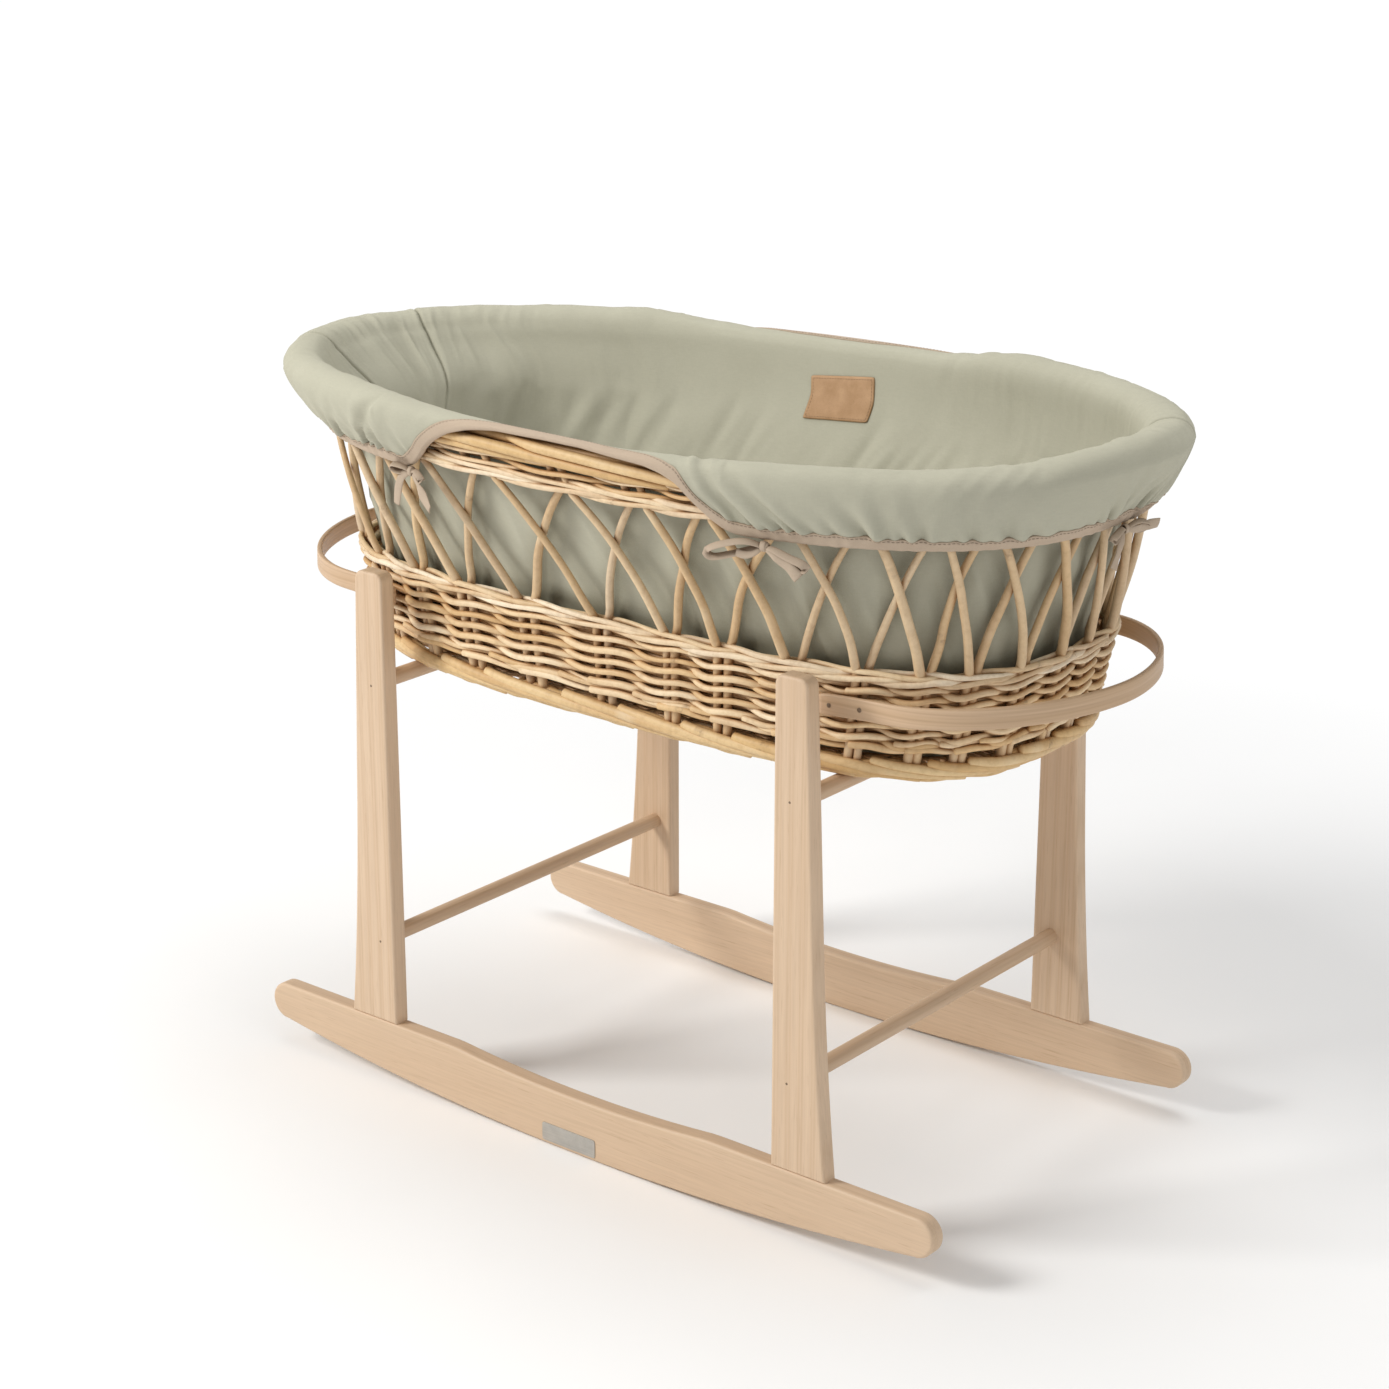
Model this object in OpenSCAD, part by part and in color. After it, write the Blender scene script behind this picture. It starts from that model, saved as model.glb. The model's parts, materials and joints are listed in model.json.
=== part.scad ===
// Baby cradle: a willow basket with a padded fabric liner, lifted on and off
// a low pine stand with two curved rockers.
// Millimetres. Origin on the floor under the middle of the stand, +X along
// the length, -Y towards the front, +Z up.

/* [Stand] */
// Length of each rocker from tip to tip
rocker_len = 820; // [760:5:840]
// Height of a rocker at its ends, above the floor line
rocker_h = 65.8; // [62:0.2:72]
// Radius of the curved sole of the rockers
sole_r = 2800; // [2400:50:4000]
// Depth of the shallow dip in the rocker's top edge
dip_depth = 7.8; // [2:0.2:12]
// Half length of the dip along the top edge
dip_half = 158; // [120:2:190]
// Thickness of all the boards
board_t = 18; // [16:0.5:18]
// Distance from the middle plane to the outer face of each rocker
stand_half = 222; // [222:1:228]
// Distance from the middle to the straight inner edge of each leg
leg_in = 233.5; // [230:0.5:236]
// Distance from the middle to the sloping outer edge of a leg, at its top
leg_out = 268; // [266:0.5:272]
// Height of the leg tops
leg_top = 529; // [500:1:540]
// Slope of the outer edge of a leg, sideways per unit of height
leg_slope = 0.04; // [0.02:0.005:0.06]

/* [Crossbars] */
// Radius of the round crossbars
bar_r = 8; // [7:0.25:9]
// Distance from the middle to each pair of crossbars
bar_x = 254; // [252:0.5:256]
// Height of the upper crossbars, which carry the basket
bar_hi = 416; // [400:1:416]
// Height of the lower crossbars
bar_lo = 151; // [120:1:200]
// Depth of the blind hole in a leg for a crossbar's end
socket = 12; // [8:0.5:14]

/* [Basket] */
// Height of the underside of the foot border
foot_z = 424.2; // [424.2:0.1:430]
// Height of the top of the close lower weave
band_z = 526; // [520:1:530]
// Height of the bottom of the upper weave
upper_z = 652; // [648:1:656]
// Height of the top of the rolled border
rim_z = 701; // [698:1:704]
// Thickness of the woven wall
wall_t = 14.6; // [14.6:0.1:16]
// Number of stake pairs in the open lattice
pairs = 30; // [24:1:32]
// How much closer the pairs stand at the right end than at the left
end_crowding = 0.2; // [0:0.05:0.3]
// How much closer the pairs stand at both ends than along the sides
corner_crowding = 0.1; // [0:0.05:0.3]
// Radius of a stake in the lattice
stake_r = 3.5; // [3:0.1:3.5]

/* [Handle hoops] */
// Height of a hoop's bent strip
hoop_h = 19; // [15:0.5:20]
// Thickness of a hoop's bent strip
hoop_t = 5; // [4:0.25:5.5]
// How far from the middle a hoop reaches
hoop_x = 455; // [445:1:465]
// Distance from the middle plane to a hoop's straight flank
hoop_y = 172.3; // [171.3:0.1:174]
// Height of a hoop where it is nailed on
hoop_z = 494; // [486:1:496]
// How far both hoops sit towards the left end
hoop_shift = 6; // [0:1:8]

/* [Textiles] */
// Thickness of the liner fabric with its backing
cloth_t = 1.6; // [1.2:0.1:2]
// Gap between the woven wall's outer face and the liner's outer face
liner_in = 20.5; // [20.5:0.5:22]
// Half length of the mattress
mattress_half_len = 345; // [330:1:345]
// Half width of the mattress
mattress_half_width = 154; // [145:1:154]
// Thickness of the mattress
mattress_t = 44; // [30:1:48]

/* [Hidden] */

pine = [0.84, 0.74, 0.62];
willow = [0.90, 0.79, 0.60];
sage = [0.72, 0.73, 0.65];
tape = [0.74, 0.65, 0.57];

// ---- stand --------------------------------------------------------------

board_y = stand_half - board_t; // inner face of the rockers and legs
board_mid = stand_half - board_t / 2;

fit_gap = 0.05; // round a peg, bar or brad in its hole
end_gap = 0.1; // past the end of a peg or bar in its hole
cut = 1; // how far a hole's cutter stands out of its mouth

peg_r = 4;
peg_len = 40; // pegs are peg_trim shorter than this
peg_trim = 0.4;
peg_xs = [252, 276];

brad_r = 0.8;
brad_len = 20;
brad_x = 251;
leg_brad_hole = 9; // depth from the leg's outer face
bar_brad_hole = 14.2; // depth from the crossbar's end

// Height of the curved sole at x
function sole_at(x) = pow(x, 2) / (2 * sole_r);

// Half-round tip of a rocker: its middle and radius. The sole height that
// places the middle is taken tip_inset in from the end
tip_inset = 19;
tip_x = rocker_len / 2 - (rocker_h - sole_at(rocker_len / 2 - tip_inset)) / 2;
tip_r = (rocker_h - sole_at(tip_x)) / 2;

module rocker_profile() {
    dip_r = (dip_half * dip_half + dip_depth * dip_depth) / (2 * dip_depth);
    difference() {
        union() {
            intersection() {
                translate([-tip_x, 0]) square([2 * tip_x, rocker_h]);
                translate([0, sole_r]) circle(r = sole_r, $fn = 900);
            }
            for (side = [-1, 1])
                translate([side * tip_x, sole_at(tip_x) + tip_r]) circle(r = tip_r, $fn = 64);
        }
        translate([0, rocker_h - dip_depth + dip_r]) circle(r = dip_r, $fn = 720);
    }
}

// side_x is -1 on the left and 1 on the right, side_y -1 in front and 1 behind
module rocker(side_y) {
    outer_y = side_y < 0 ? -board_y : stand_half;
    color(pine) difference() {
        translate([0, outer_y, 0]) rotate([90, 0, 0])
            linear_extrude(board_t) rocker_profile();
        for (side_x = [-1, 1], x = peg_xs)
            translate([side_x * x, side_y * board_mid, rocker_h - peg_len / 2 - end_gap])
                cylinder(r = peg_r + fit_gap, h = peg_len, $fn = 32);
    }
}

// Foot of a leg: below flare_z the outer edge spreads with the square of the
// drop
flare_z = 283;
flare = 0.000147;

leg_corner = 8; // rounding of the top in the front view
leg_dome = 6; // rounding of the top in the side view
leg_edge_steps = 14;

// Outer edge of a leg at height z
function leg_edge(z) = leg_out + leg_slope * (leg_top - z)
    + (z < flare_z ? flare * pow(flare_z - z, 2) : 0);

// Points of a rounded corner round the middle [x, z]
function corner_arc(x, z, angles) =
    [for (a = angles) [x + leg_corner * cos(a), z + leg_corner * sin(a)]];

module leg_profile() {
    corner_z = leg_top - leg_corner;
    polygon(concat(
        [[leg_in, rocker_h]],
        [for (i = [0:leg_edge_steps])
            let (z = rocker_h + (corner_z - rocker_h) * i / leg_edge_steps) [leg_edge(z), z]],
        corner_arc(leg_edge(corner_z) - leg_corner, corner_z, [15:15:90]),
        corner_arc(leg_in + leg_corner, corner_z, [90:15:180])));
}

// Side view of a leg, with its domed top
module leg_side() {
    translate([board_y, rocker_h]) square([board_t, leg_top - leg_dome - rocker_h]);
    translate([board_y + leg_dome, rocker_h])
        square([board_t - 2 * leg_dome, leg_top - rocker_h]);
    for (y = [board_y + leg_dome, stand_half - leg_dome])
        translate([y, leg_top - leg_dome]) circle(r = leg_dome, $fn = 48);
}

// Moves a child from the back right corner to another corner
module at_corner(side_x, side_y) {
    mirror([side_x < 0 ? 1 : 0, 0, 0]) mirror([0, side_y < 0 ? 1 : 0, 0]) children();
}

// A cylinder lying along Y, centred
module y_cylinder(radius, length, facets) {
    rotate([90, 0, 0]) cylinder(r = radius, h = length, center = true, $fn = facets);
}

module leg(side_x, side_y) {
    color(pine) difference() {
        at_corner(side_x, side_y) intersection() {
            translate([0, stand_half, 0]) rotate([90, 0, 0])
                linear_extrude(board_t) leg_profile();
            translate([leg_in - 5, 0, 0]) rotate([90, 0, 90])
                linear_extrude(80) leg_side();
        }
        for (z = [bar_hi, bar_lo]) {
            translate([side_x * bar_x, side_y * (board_y + (socket - cut) / 2), z])
                y_cylinder(bar_r + fit_gap, socket + cut, 64);
            translate([side_x * brad_x, side_y * (stand_half - (leg_brad_hole - cut) / 2), z])
                y_cylinder(brad_r + fit_gap, leg_brad_hole + cut, 24);
        }
        for (x = peg_xs)
            translate([side_x * x, side_y * board_mid, rocker_h + peg_len / 4])
                cylinder(r = peg_r + fit_gap, h = peg_len / 2 + 2 * end_gap,
                    center = true, $fn = 32);
    }
}

module crossbar(side_x, z) {
    half_len = board_y + socket - end_gap;
    color(pine) difference() {
        translate([side_x * bar_x, 0, z]) y_cylinder(bar_r, 2 * half_len, 64);
        for (side_y = [-1, 1])
            translate([side_x * brad_x, side_y * half_len, z])
                y_cylinder(brad_r + fit_gap, 2 * bar_brad_hole, 24);
    }
}

module leg_pegs() {
    color("tan") for (side_x = [-1, 1], side_y = [-1, 1], x = peg_xs)
        translate([side_x * x, side_y * board_mid, rocker_h])
            cylinder(r = peg_r, h = peg_len - peg_trim, center = true, $fn = 32);
}

module crossbar_brads() {
    color("dimgray") for (side_x = [-1, 1], side_y = [-1, 1], z = [bar_hi, bar_lo])
        translate([side_x * brad_x, side_y * (stand_half - brad_len / 2), z])
            y_cylinder(brad_r, brad_len, 24);
}

// Thin round-cornered plate on the outer face of the front rocker
module rocker_plate() {
    width = 66;
    height = 18.5;
    corner = 2.5;
    thickness = 0.8;
    middle = [-7, -stand_half, 13.2];
    color("silver") translate(middle) rotate([90, 0, 0]) linear_extrude(thickness) {
        square([width - 2 * corner, height], center = true);
        square([width, height - 2 * corner], center = true);
        for (side_x = [-1, 1], side_z = [-1, 1])
            translate([side_x * (width / 2 - corner), side_z * (height / 2 - corner)])
                circle(r = corner, $fn = 24);
    }
}

// ---- basket wall --------------------------------------------------------
// A place on the wall is given by its height z, its push outwards from the
// outline, and its turn: degrees round the basket from the right end, by way
// of the back.

// The wall runs straight between these stations. Columns: height, half length,
// half width, roundness, shift along the length, rise of the right end, share
// of the rim's own rise and dip
wall_stations = [
    [foot_z,  372, 182, 3.1,   0, 0, 0],
    [band_z,  394, 192, 3.2,   0, 0, 0],
    [upper_z, 424, 240, 2.5,   0, 0, 0],
    [rim_z,   476, 251, 2.1, -17, 8, 1]];
rise_len = 450; // distance from the middle at which the full rise is reached

// How far the hand-woven rim rises or dips: [turn, rise]
rim_line = [[0, 3], [20, 1], [40, 0], [266, 0], [275, -3], [286, -6], [300, -8],
    [318, -8], [335, -4], [350, 1], [360, 3]];
function rim_dip(turn) = lookup(((turn % 360) + 360) % 360, rim_line);

ring_steps = 72; // steps of a full turn

// Station columns after the height, at height z
function wall_at(z) =
    let (i = z < band_z ? 0 : (z < upper_z ? 1 : 2),
         low = wall_stations[i],
         high = wall_stations[i + 1],
         part = min(1, max(0, (z - low[0]) / (high[0] - low[0]))))
    [for (k = [1:6]) low[k] + part * (high[k] - low[k])];

function signed_pow(value, power) = sign(value) * pow(abs(value), power);

function wall_point(z, push, turn) =
    let (wall = wall_at(z),
         x = (wall[0] + push) * signed_pow(cos(turn), 2 / wall[2]),
         y = (wall[1] + push) * signed_pow(sin(turn), 2 / wall[2]))
    [wall[3] + x, y, z + wall[4] * x / rise_len + wall[5] * rim_dip(turn)];

// Turn at which the outline at height z reaches x, on the back or front side
function turn_at(z, x, back) =
    let (wall = wall_at(z),
         reach = (x - wall[3]) / wall[0],
         turn = acos(sign(reach) * pow(abs(reach), wall[2] / 2)))
    back ? turn : 360 - turn;

// Points of a section [[push, z], ...] set up at one turn
function section_at(section, turn) = [for (p = section) wall_point(p[1], p[0], turn)];

// Two triangles over four vertex numbers
function quad(first, second, third, fourth) =
    [[first, second, third], [first, third, fourth]];

// Faces between two sections of size vertices, which start at vertex numbers
// from and to; count of their edges are covered
function strip(from, to, size, count) =
    [for (j = [0:count - 1]) let (next = (j + 1) % size)
        each quad(from + j, from + next, to + next, to + j)];

// A closed ring with the cross-section [[push, z], ...]
module ring(section) {
    size = len(section);
    points = [for (i = [0:ring_steps - 1]) each section_at(section, 360 * i / ring_steps)];
    polyhedron(points, [for (i = [0:ring_steps - 1])
        each strip(i * size, ((i + 1) % ring_steps) * size, size, size)], convexity = 8);
}

// A length of ring between two turns. Its section runs along outer =
// [[push, z], ...] and back along inner, point against point
module part_ring(outer, inner, turns, steps) {
    count = len(outer);
    size = 2 * count;
    section = concat(outer, [for (j = [count - 1:-1:0]) inner[j]]);
    points = [for (i = [0:steps])
        each section_at(section, turns[0] + (turns[1] - turns[0]) * i / steps)];
    last = steps * size;
    polyhedron(points, concat(
        [for (i = [0:steps - 1]) each strip(i * size, (i + 1) * size, size, size)],
        [for (j = [0:count - 2]) each quad(j, size - 1 - j, size - 2 - j, j + 1)],
        [for (j = [0:count - 2]) each quad(last + j, last + j + 1,
            last + size - 2 - j, last + size - 1 - j)]), convexity = 8);
}

// A part ring of even thickness, with section points at the given heights
module wall_patch(push_out, push_in, heights, turns, steps) {
    part_ring([for (z = heights) [push_out, z]], [for (z = heights) [push_in, z]],
        turns, steps);
}

// ---- weave --------------------------------------------------------------

base_z = 432;
base_t = 8;
base_push = -13.4;
foot_top = 448.8;
lower_z = 449; // bottom of the close lower weave
upper_top = 680.8;

module base_weave() {
    color(willow) translate([0, 0, base_z]) linear_extrude(base_t)
        polygon([for (i = [0:ring_steps - 1])
            let (p = wall_point(base_z, base_push, 360 * i / ring_steps)) [p[0], p[1]]]);
}

// The sections below are measured outlines: [push, z]
module foot_border() {
    color(willow) ring([[-13, 427], [-10.5, foot_z], [-1.5, foot_z], [2, 428], [2.5, 438],
        [0, foot_top], [-10, foot_top], [-13, 446]]);
}

module lower_weave() {
    color(willow) ring([[-wall_t, lower_z], [0, lower_z], [1, 487], [0, band_z],
        [-wall_t, band_z]]);
}

module upper_weave() {
    color(willow) ring([[-wall_t, upper_z], [0, upper_z], [1, 666], [1, upper_top],
        [-wall_t, upper_top]]);
}

module rim_border() {
    color(willow) ring([[-15, 683], [-13, 681], [1, 681], [5, 684], [5.6, 691], [4, 697],
        [-1, rim_z], [-10, rim_z], [-15, 697]]);
}

// ---- stakes -------------------------------------------------------------

stake_phase = 0.667; // place of the first pair, in pair spacings
foot_offset = 0.08; // a stake's foot from the middle of its pair, in spacings
head_offset = 0.85; // the same at its head
stake_embed = 5; // how far a stake runs into the weave at each end
outer_stake_gap = 1.15; // from the outline to the left-leaning stakes
inner_stake_gap = 1.75; // the same, plus the gap between the two layers
stake_sides = 10;
arc_steps = 240;

// Running length along the outline at height z, after each of arc_steps
function arc_lengths(z) =
    let (points = [for (i = [0:arc_steps]) wall_point(z, 0, 360 * i / arc_steps)])
    [for (sum = 0, i = 0; i <= arc_steps;
        sum = sum + (i < arc_steps ? norm(points[i + 1] - points[i]) : 0), i = i + 1) sum];
band_lengths = arc_lengths(band_z);
upper_lengths = arc_lengths(upper_z);

// Last step between low and high whose running length is not above wanted
function find_step(lengths, wanted, low, high) = high - low <= 1 ? low :
    let (mid = floor((low + high) / 2))
    lengths[mid] <= wanted ? find_step(lengths, wanted, mid, high)
        : find_step(lengths, wanted, low, mid);

// Turn of the point that lies count stake spacings along an outline; the
// spacings are drawn together towards the ends
function even_turn(lengths, count) =
    let (place = count < 0 ? count + pairs : (count >= pairs ? count - pairs : count),
         part = place / pairs - end_crowding / (2 * PI) * sin(360 * place / pairs)
             - corner_crowding / (4 * PI) * sin(720 * place / pairs),
         wanted = lengths[arc_steps] * part,
         i = find_step(lengths, wanted, 0, arc_steps))
    360 * (i + (wanted - lengths[i]) / (lengths[i + 1] - lengths[i])) / arc_steps;

// A round rod along path, with its facets set out from the direction out
module rod(path, radius, out, sides) {
    count = len(path);
    points = [for (i = [0:count - 1])
        let (step = path[min(count - 1, i + 1)] - path[max(0, i - 1)],
             along = step / norm(step),
             side = cross(along, out),
             across = side / norm(side),
             outward = cross(across, along))
        for (j = [0:sides - 1]) let (a = 360 * j / sides)
            path[i] + radius * (outward * cos(a) + across * sin(a))];
    polyhedron(points, concat(
        [[for (j = [sides - 1:-1:0]) j]],
        [[for (j = [0:sides - 1]) (count - 1) * sides + j]],
        [for (i = [0:count - 2]) each strip(i * sides, (i + 1) * sides, sides, sides)]),
        convexity = 2);
}

// One stake of each pair, all leaning the same way: -1 left, 1 right as seen
// from inside the basket's turn, that is to smaller or larger turns. Each
// starts beside its pair, stands nearly upright, then leans past the next pair
module stakes(lean) {
    push = lean < 0 ? -stake_r - outer_stake_gap : -3 * stake_r - inner_stake_gap;
    bottom = band_z - stake_embed;
    heights = [for (k = [0:5]) bottom + (upper_z - bottom) * k / 5, upper_z + stake_embed];
    color(willow) for (i = [0:pairs - 1]) {
        foot_turn = even_turn(band_lengths, i + stake_phase + foot_offset * lean);
        head_turn = even_turn(upper_lengths, i + stake_phase + head_offset * lean);
        change = head_turn - foot_turn;
        sweep = change > 180 ? change - 360 : (change < -180 ? change + 360 : change);
        path = [for (z = heights)
            let (part = min(1, max(0, (z - band_z) / (upper_z - band_z))))
            wall_point(z, push, foot_turn + sweep * (0.55 * part + 0.45 * part * part))];
        mid_turn = foot_turn + sweep / 2;
        out = wall_point(upper_z, 1, mid_turn) - wall_point(upper_z, 0, mid_turn);
        rod(path, stake_r, out, stake_sides);
    }
}

// ---- handle hoops -------------------------------------------------------

hoop_end = 254; // where a hoop's flanks end, inside the basket
hoop_bend = 324; // where the flanks pass into the bend
hoop_flare = 0.0011; // spread of the flanks, by the square of the distance
hoop_roundness = 1.85;
hoop_rise = 0.04; // slope, upwards per unit of length
flank_steps = 8;
bend_steps = 20;
nail_xs = [265, 295];

// Distance from the middle plane to a flank's middle line at x
function flank_y(x) = hoop_y + hoop_flare * pow(hoop_bend - x, 2);

function hoop_point(i) = i < flank_steps
    ? let (x = hoop_end + (hoop_bend - hoop_end) * i / flank_steps) [x, flank_y(x)]
    : let (a = 90 * (i - flank_steps) / bend_steps)
        [hoop_bend + (hoop_x - hoop_bend) * pow(sin(a), 2 / hoop_roundness),
         hoop_y * pow(max(0, cos(a)), 2 / hoop_roundness)];

hoop_half = [for (i = [0:flank_steps + bend_steps]) hoop_point(i)];
hoop_line = concat(hoop_half,
    [for (i = [flank_steps + bend_steps - 1:-1:0]) [hoop_half[i][0], -hoop_half[i][1]]]);

// Point i of path, moved sideways by distance
function side_step(path, i, distance) =
    let (before = path[max(0, i - 1)],
         after = path[min(len(path) - 1, i + 1)],
         along = (after - before) / norm(after - before))
    path[i] + distance * [along[1], -along[0]];

module hoop(side_x) {
    last = len(hoop_line) - 1;
    color("burlywood") translate([-hoop_shift, 0, 0]) mirror([side_x < 0 ? 1 : 0, 0, 0])
        translate([nail_xs[0], 0, hoop_z]) rotate([0, -atan(hoop_rise), 0])
            translate([-nail_xs[0], 0, -hoop_h / 2]) linear_extrude(hoop_h) polygon(concat(
                [for (i = [0:last]) side_step(hoop_line, i, hoop_t / 2)],
                [for (i = [last:-1:0]) side_step(hoop_line, i, -hoop_t / 2)]));
}

module hoop_nail() {
    translate([0, 0, -0.9]) cylinder(r = 2.2, h = 1, $fn = 24);
    cylinder(r = 1, h = 22, $fn = 24);
}

module hoop_nails() {
    color("gray") for (side_x = [-1, 1], side_y = [-1, 1], x = nail_xs)
        translate([side_x * x - hoop_shift, side_y * (flank_y(x) + hoop_t / 2),
            hoop_z + hoop_rise * (x - nail_xs[0])])
            rotate([side_y * 90, 0, 0]) hoop_nail();
}

// ---- textiles -----------------------------------------------------------

liner_z = 440.3; // underside of the liner's floor
liner_floor = 441.2; // top of the liner's floor
liner_top = 685.5;
liner_inner = -liner_in - cloth_t; // push of the liner's inner face
mattress_z = 441.4;

// Left and right ends of the cut-outs over the two long sides
cut_front = [-132, 176];
cut_back = [-190, 140];

// Turns between which each roll runs
left_turns = [turn_at(rim_z, cut_back[0], true), turn_at(rim_z, cut_front[0], false)];
right_turns = [turn_at(rim_z, cut_front[1], false) - 360, turn_at(rim_z, cut_back[1], true)];

// The liner's wall and floor as one open bag. Its section runs from the
// outside of the floor up over the top edge to the inside of the floor
module liner_wall() {
    section = [
        [-liner_in, liner_z], [-liner_in, band_z],
        [-liner_in, upper_z], [-liner_in, liner_top],
        [liner_inner, liner_top], [liner_inner, upper_z],
        [liner_inner, band_z], [liner_inner, liner_floor]];
    size = len(section);
    under = ring_steps * size; // vertex in the middle of the floor's underside
    points = concat(
        [for (i = [0:ring_steps - 1]) each section_at(section, 360 * i / ring_steps)],
        [[0, 0, liner_z], [0, 0, liner_floor]]);
    color(sage) polyhedron(points, [for (i = [0:ring_steps - 1])
        let (from = i * size, to = ((i + 1) % ring_steps) * size)
        each concat(strip(from, to, size, size - 1),
            [[under, from, to], [under + 1, to + size - 1, from + size - 1]])],
        convexity = 6);
}

// Outer and inner faces of the padded roll over the rim: [push, z]
roll_out = [[3, 652.4], [7, 656], [12, 668], [15.5, 684], [16.5, 697], [13.5, 707.5],
    [5, 714.5], [-9, 717], [-23, 713.5], [-30, 704], [-30, 692], [-27, 686]];
roll_in = [[2, 652.4], [2.2, 665], [2.2, 678], [6.2, 684], [6.2, 693], [5.8, 702.3],
    [0, 702.6], [-8, 702.6], [-16, 702.3], [-21, 701], [-21, 694], [-21, 686]];

module liner_roll(turns) {
    color(sage) part_ring(roll_out, roll_in, turns, 72);
}

// Tape under the rolls' lower edges and over the rim in the two cut-outs
module liner_binding() {
    inset = 6; // from each end of a cut-out
    back_turns = [for (x = [cut_back[1] - inset, cut_back[0] + inset])
        turn_at(rim_z, x, true)];
    front_turns = [for (x = [cut_front[0] + inset, cut_front[1] - inset])
        turn_at(rim_z, x, false)];
    color(tape) {
        for (turns = [left_turns, right_turns]) wall_patch(5, 1.8, [643, 652], turns, 96);
        for (turns = [back_turns, front_turns]) wall_patch(-9, -20, [701.4, 703], turns, 24);
    }
}

bow_z = 636;
bow_push = 11;
// X of each bow along the front and along the back
bows_front = [-180, 215, 418];
bows_back = [-215, 180, -418];

// A bow against the wall: a knot, two flat loops and two tails
module bow(x, back) {
    turn = turn_at(bow_z, x, back);
    middle = wall_point(bow_z, bow_push, turn);
    along = wall_point(bow_z, bow_push, turn + 1) - middle;
    translate(middle) rotate([0, 0, atan2(along[1], along[0])]) {
        y_cylinder(4.5, 6, 24);
        for (side = [-1, 1]) {
            translate([side * 16, 0, -3]) rotate([90, side * 14, 0])
                difference() {
                    cylinder(r = 12, h = 4, center = true, $fn = 32);
                    cylinder(r = 9, h = 6, center = true, $fn = 32);
                }
            translate([side * 6, 0, -20]) rotate([0, side * -14, 0])
                cube([6, 2, 30], center = true);
        }
    }
}

module ribbon_ties() {
    color(tape) {
        for (x = bows_front) bow(x, false);
        for (x = bows_back) bow(x, true);
    }
}

// Patch on the inner face of the liner's back wall
module label_patch() {
    push = liner_inner - 0.8;
    thickness = 1.2;
    color("peru") wall_patch(push, push - thickness, [630, upper_z, 674],
        [turn_at(upper_z, 15, true), turn_at(upper_z, -61, true)], 8);
}

module mattress_outline(inset) {
    power = 2 / 2.9;
    polygon([for (a = [0:4:356])
        [(mattress_half_len - inset) * signed_pow(cos(a), power),
         (mattress_half_width - inset) * signed_pow(sin(a), power)]]);
}

module mattress() {
    // Layers that step the edge: [inset of the outline, inset from top and bottom]
    layers = [[6, 0], [2, 3], [0, 8]];
    color("whitesmoke") for (layer = layers)
        translate([0, 0, mattress_z + layer[1]])
            linear_extrude(mattress_t - 2 * layer[1]) mattress_outline(layer[0]);
}

rocker(-1);  // front_rocker
rocker(1);  // back_rocker
leg(-1, -1);  // leg_front_left
leg(1, -1);  // leg_front_right
leg(-1, 1);  // leg_back_left
leg(1, 1);  // leg_back_right
crossbar(-1, bar_hi);  // upper_crossbar_left
crossbar(1, bar_hi);  // upper_crossbar_right
crossbar(-1, bar_lo);  // lower_crossbar_left
crossbar(1, bar_lo);  // lower_crossbar_right
leg_pegs();
crossbar_brads();
rocker_plate();
base_weave();
foot_border();
lower_weave();
stakes(-1);  // stakes_leaning_left
stakes(1);  // stakes_leaning_right
upper_weave();
rim_border();
hoop(-1);  // handle_hoop_left
hoop(1);  // handle_hoop_right
hoop_nails();
liner_wall();
liner_roll(left_turns);  // liner_roll_left
liner_roll(right_turns);  // liner_roll_right
liner_binding();
ribbon_ties();
label_patch();
mattress();
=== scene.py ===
"""A willow basket with a padded liner and a mattress, on a pine rocking stand.

The floor is z = 0 and +Z is up. The basket is long in X; the front is -Y, the right is +X.
Sizes are in millimetres and become metres when a mesh is made. A place on the basket's wall
is given as (turn, z, out): turn is the fraction of the way round, 0 at the right end, 0.25
at the back, 0.5 at the left end and 0.75 at the front; out is the distance outwards.
"""

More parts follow.
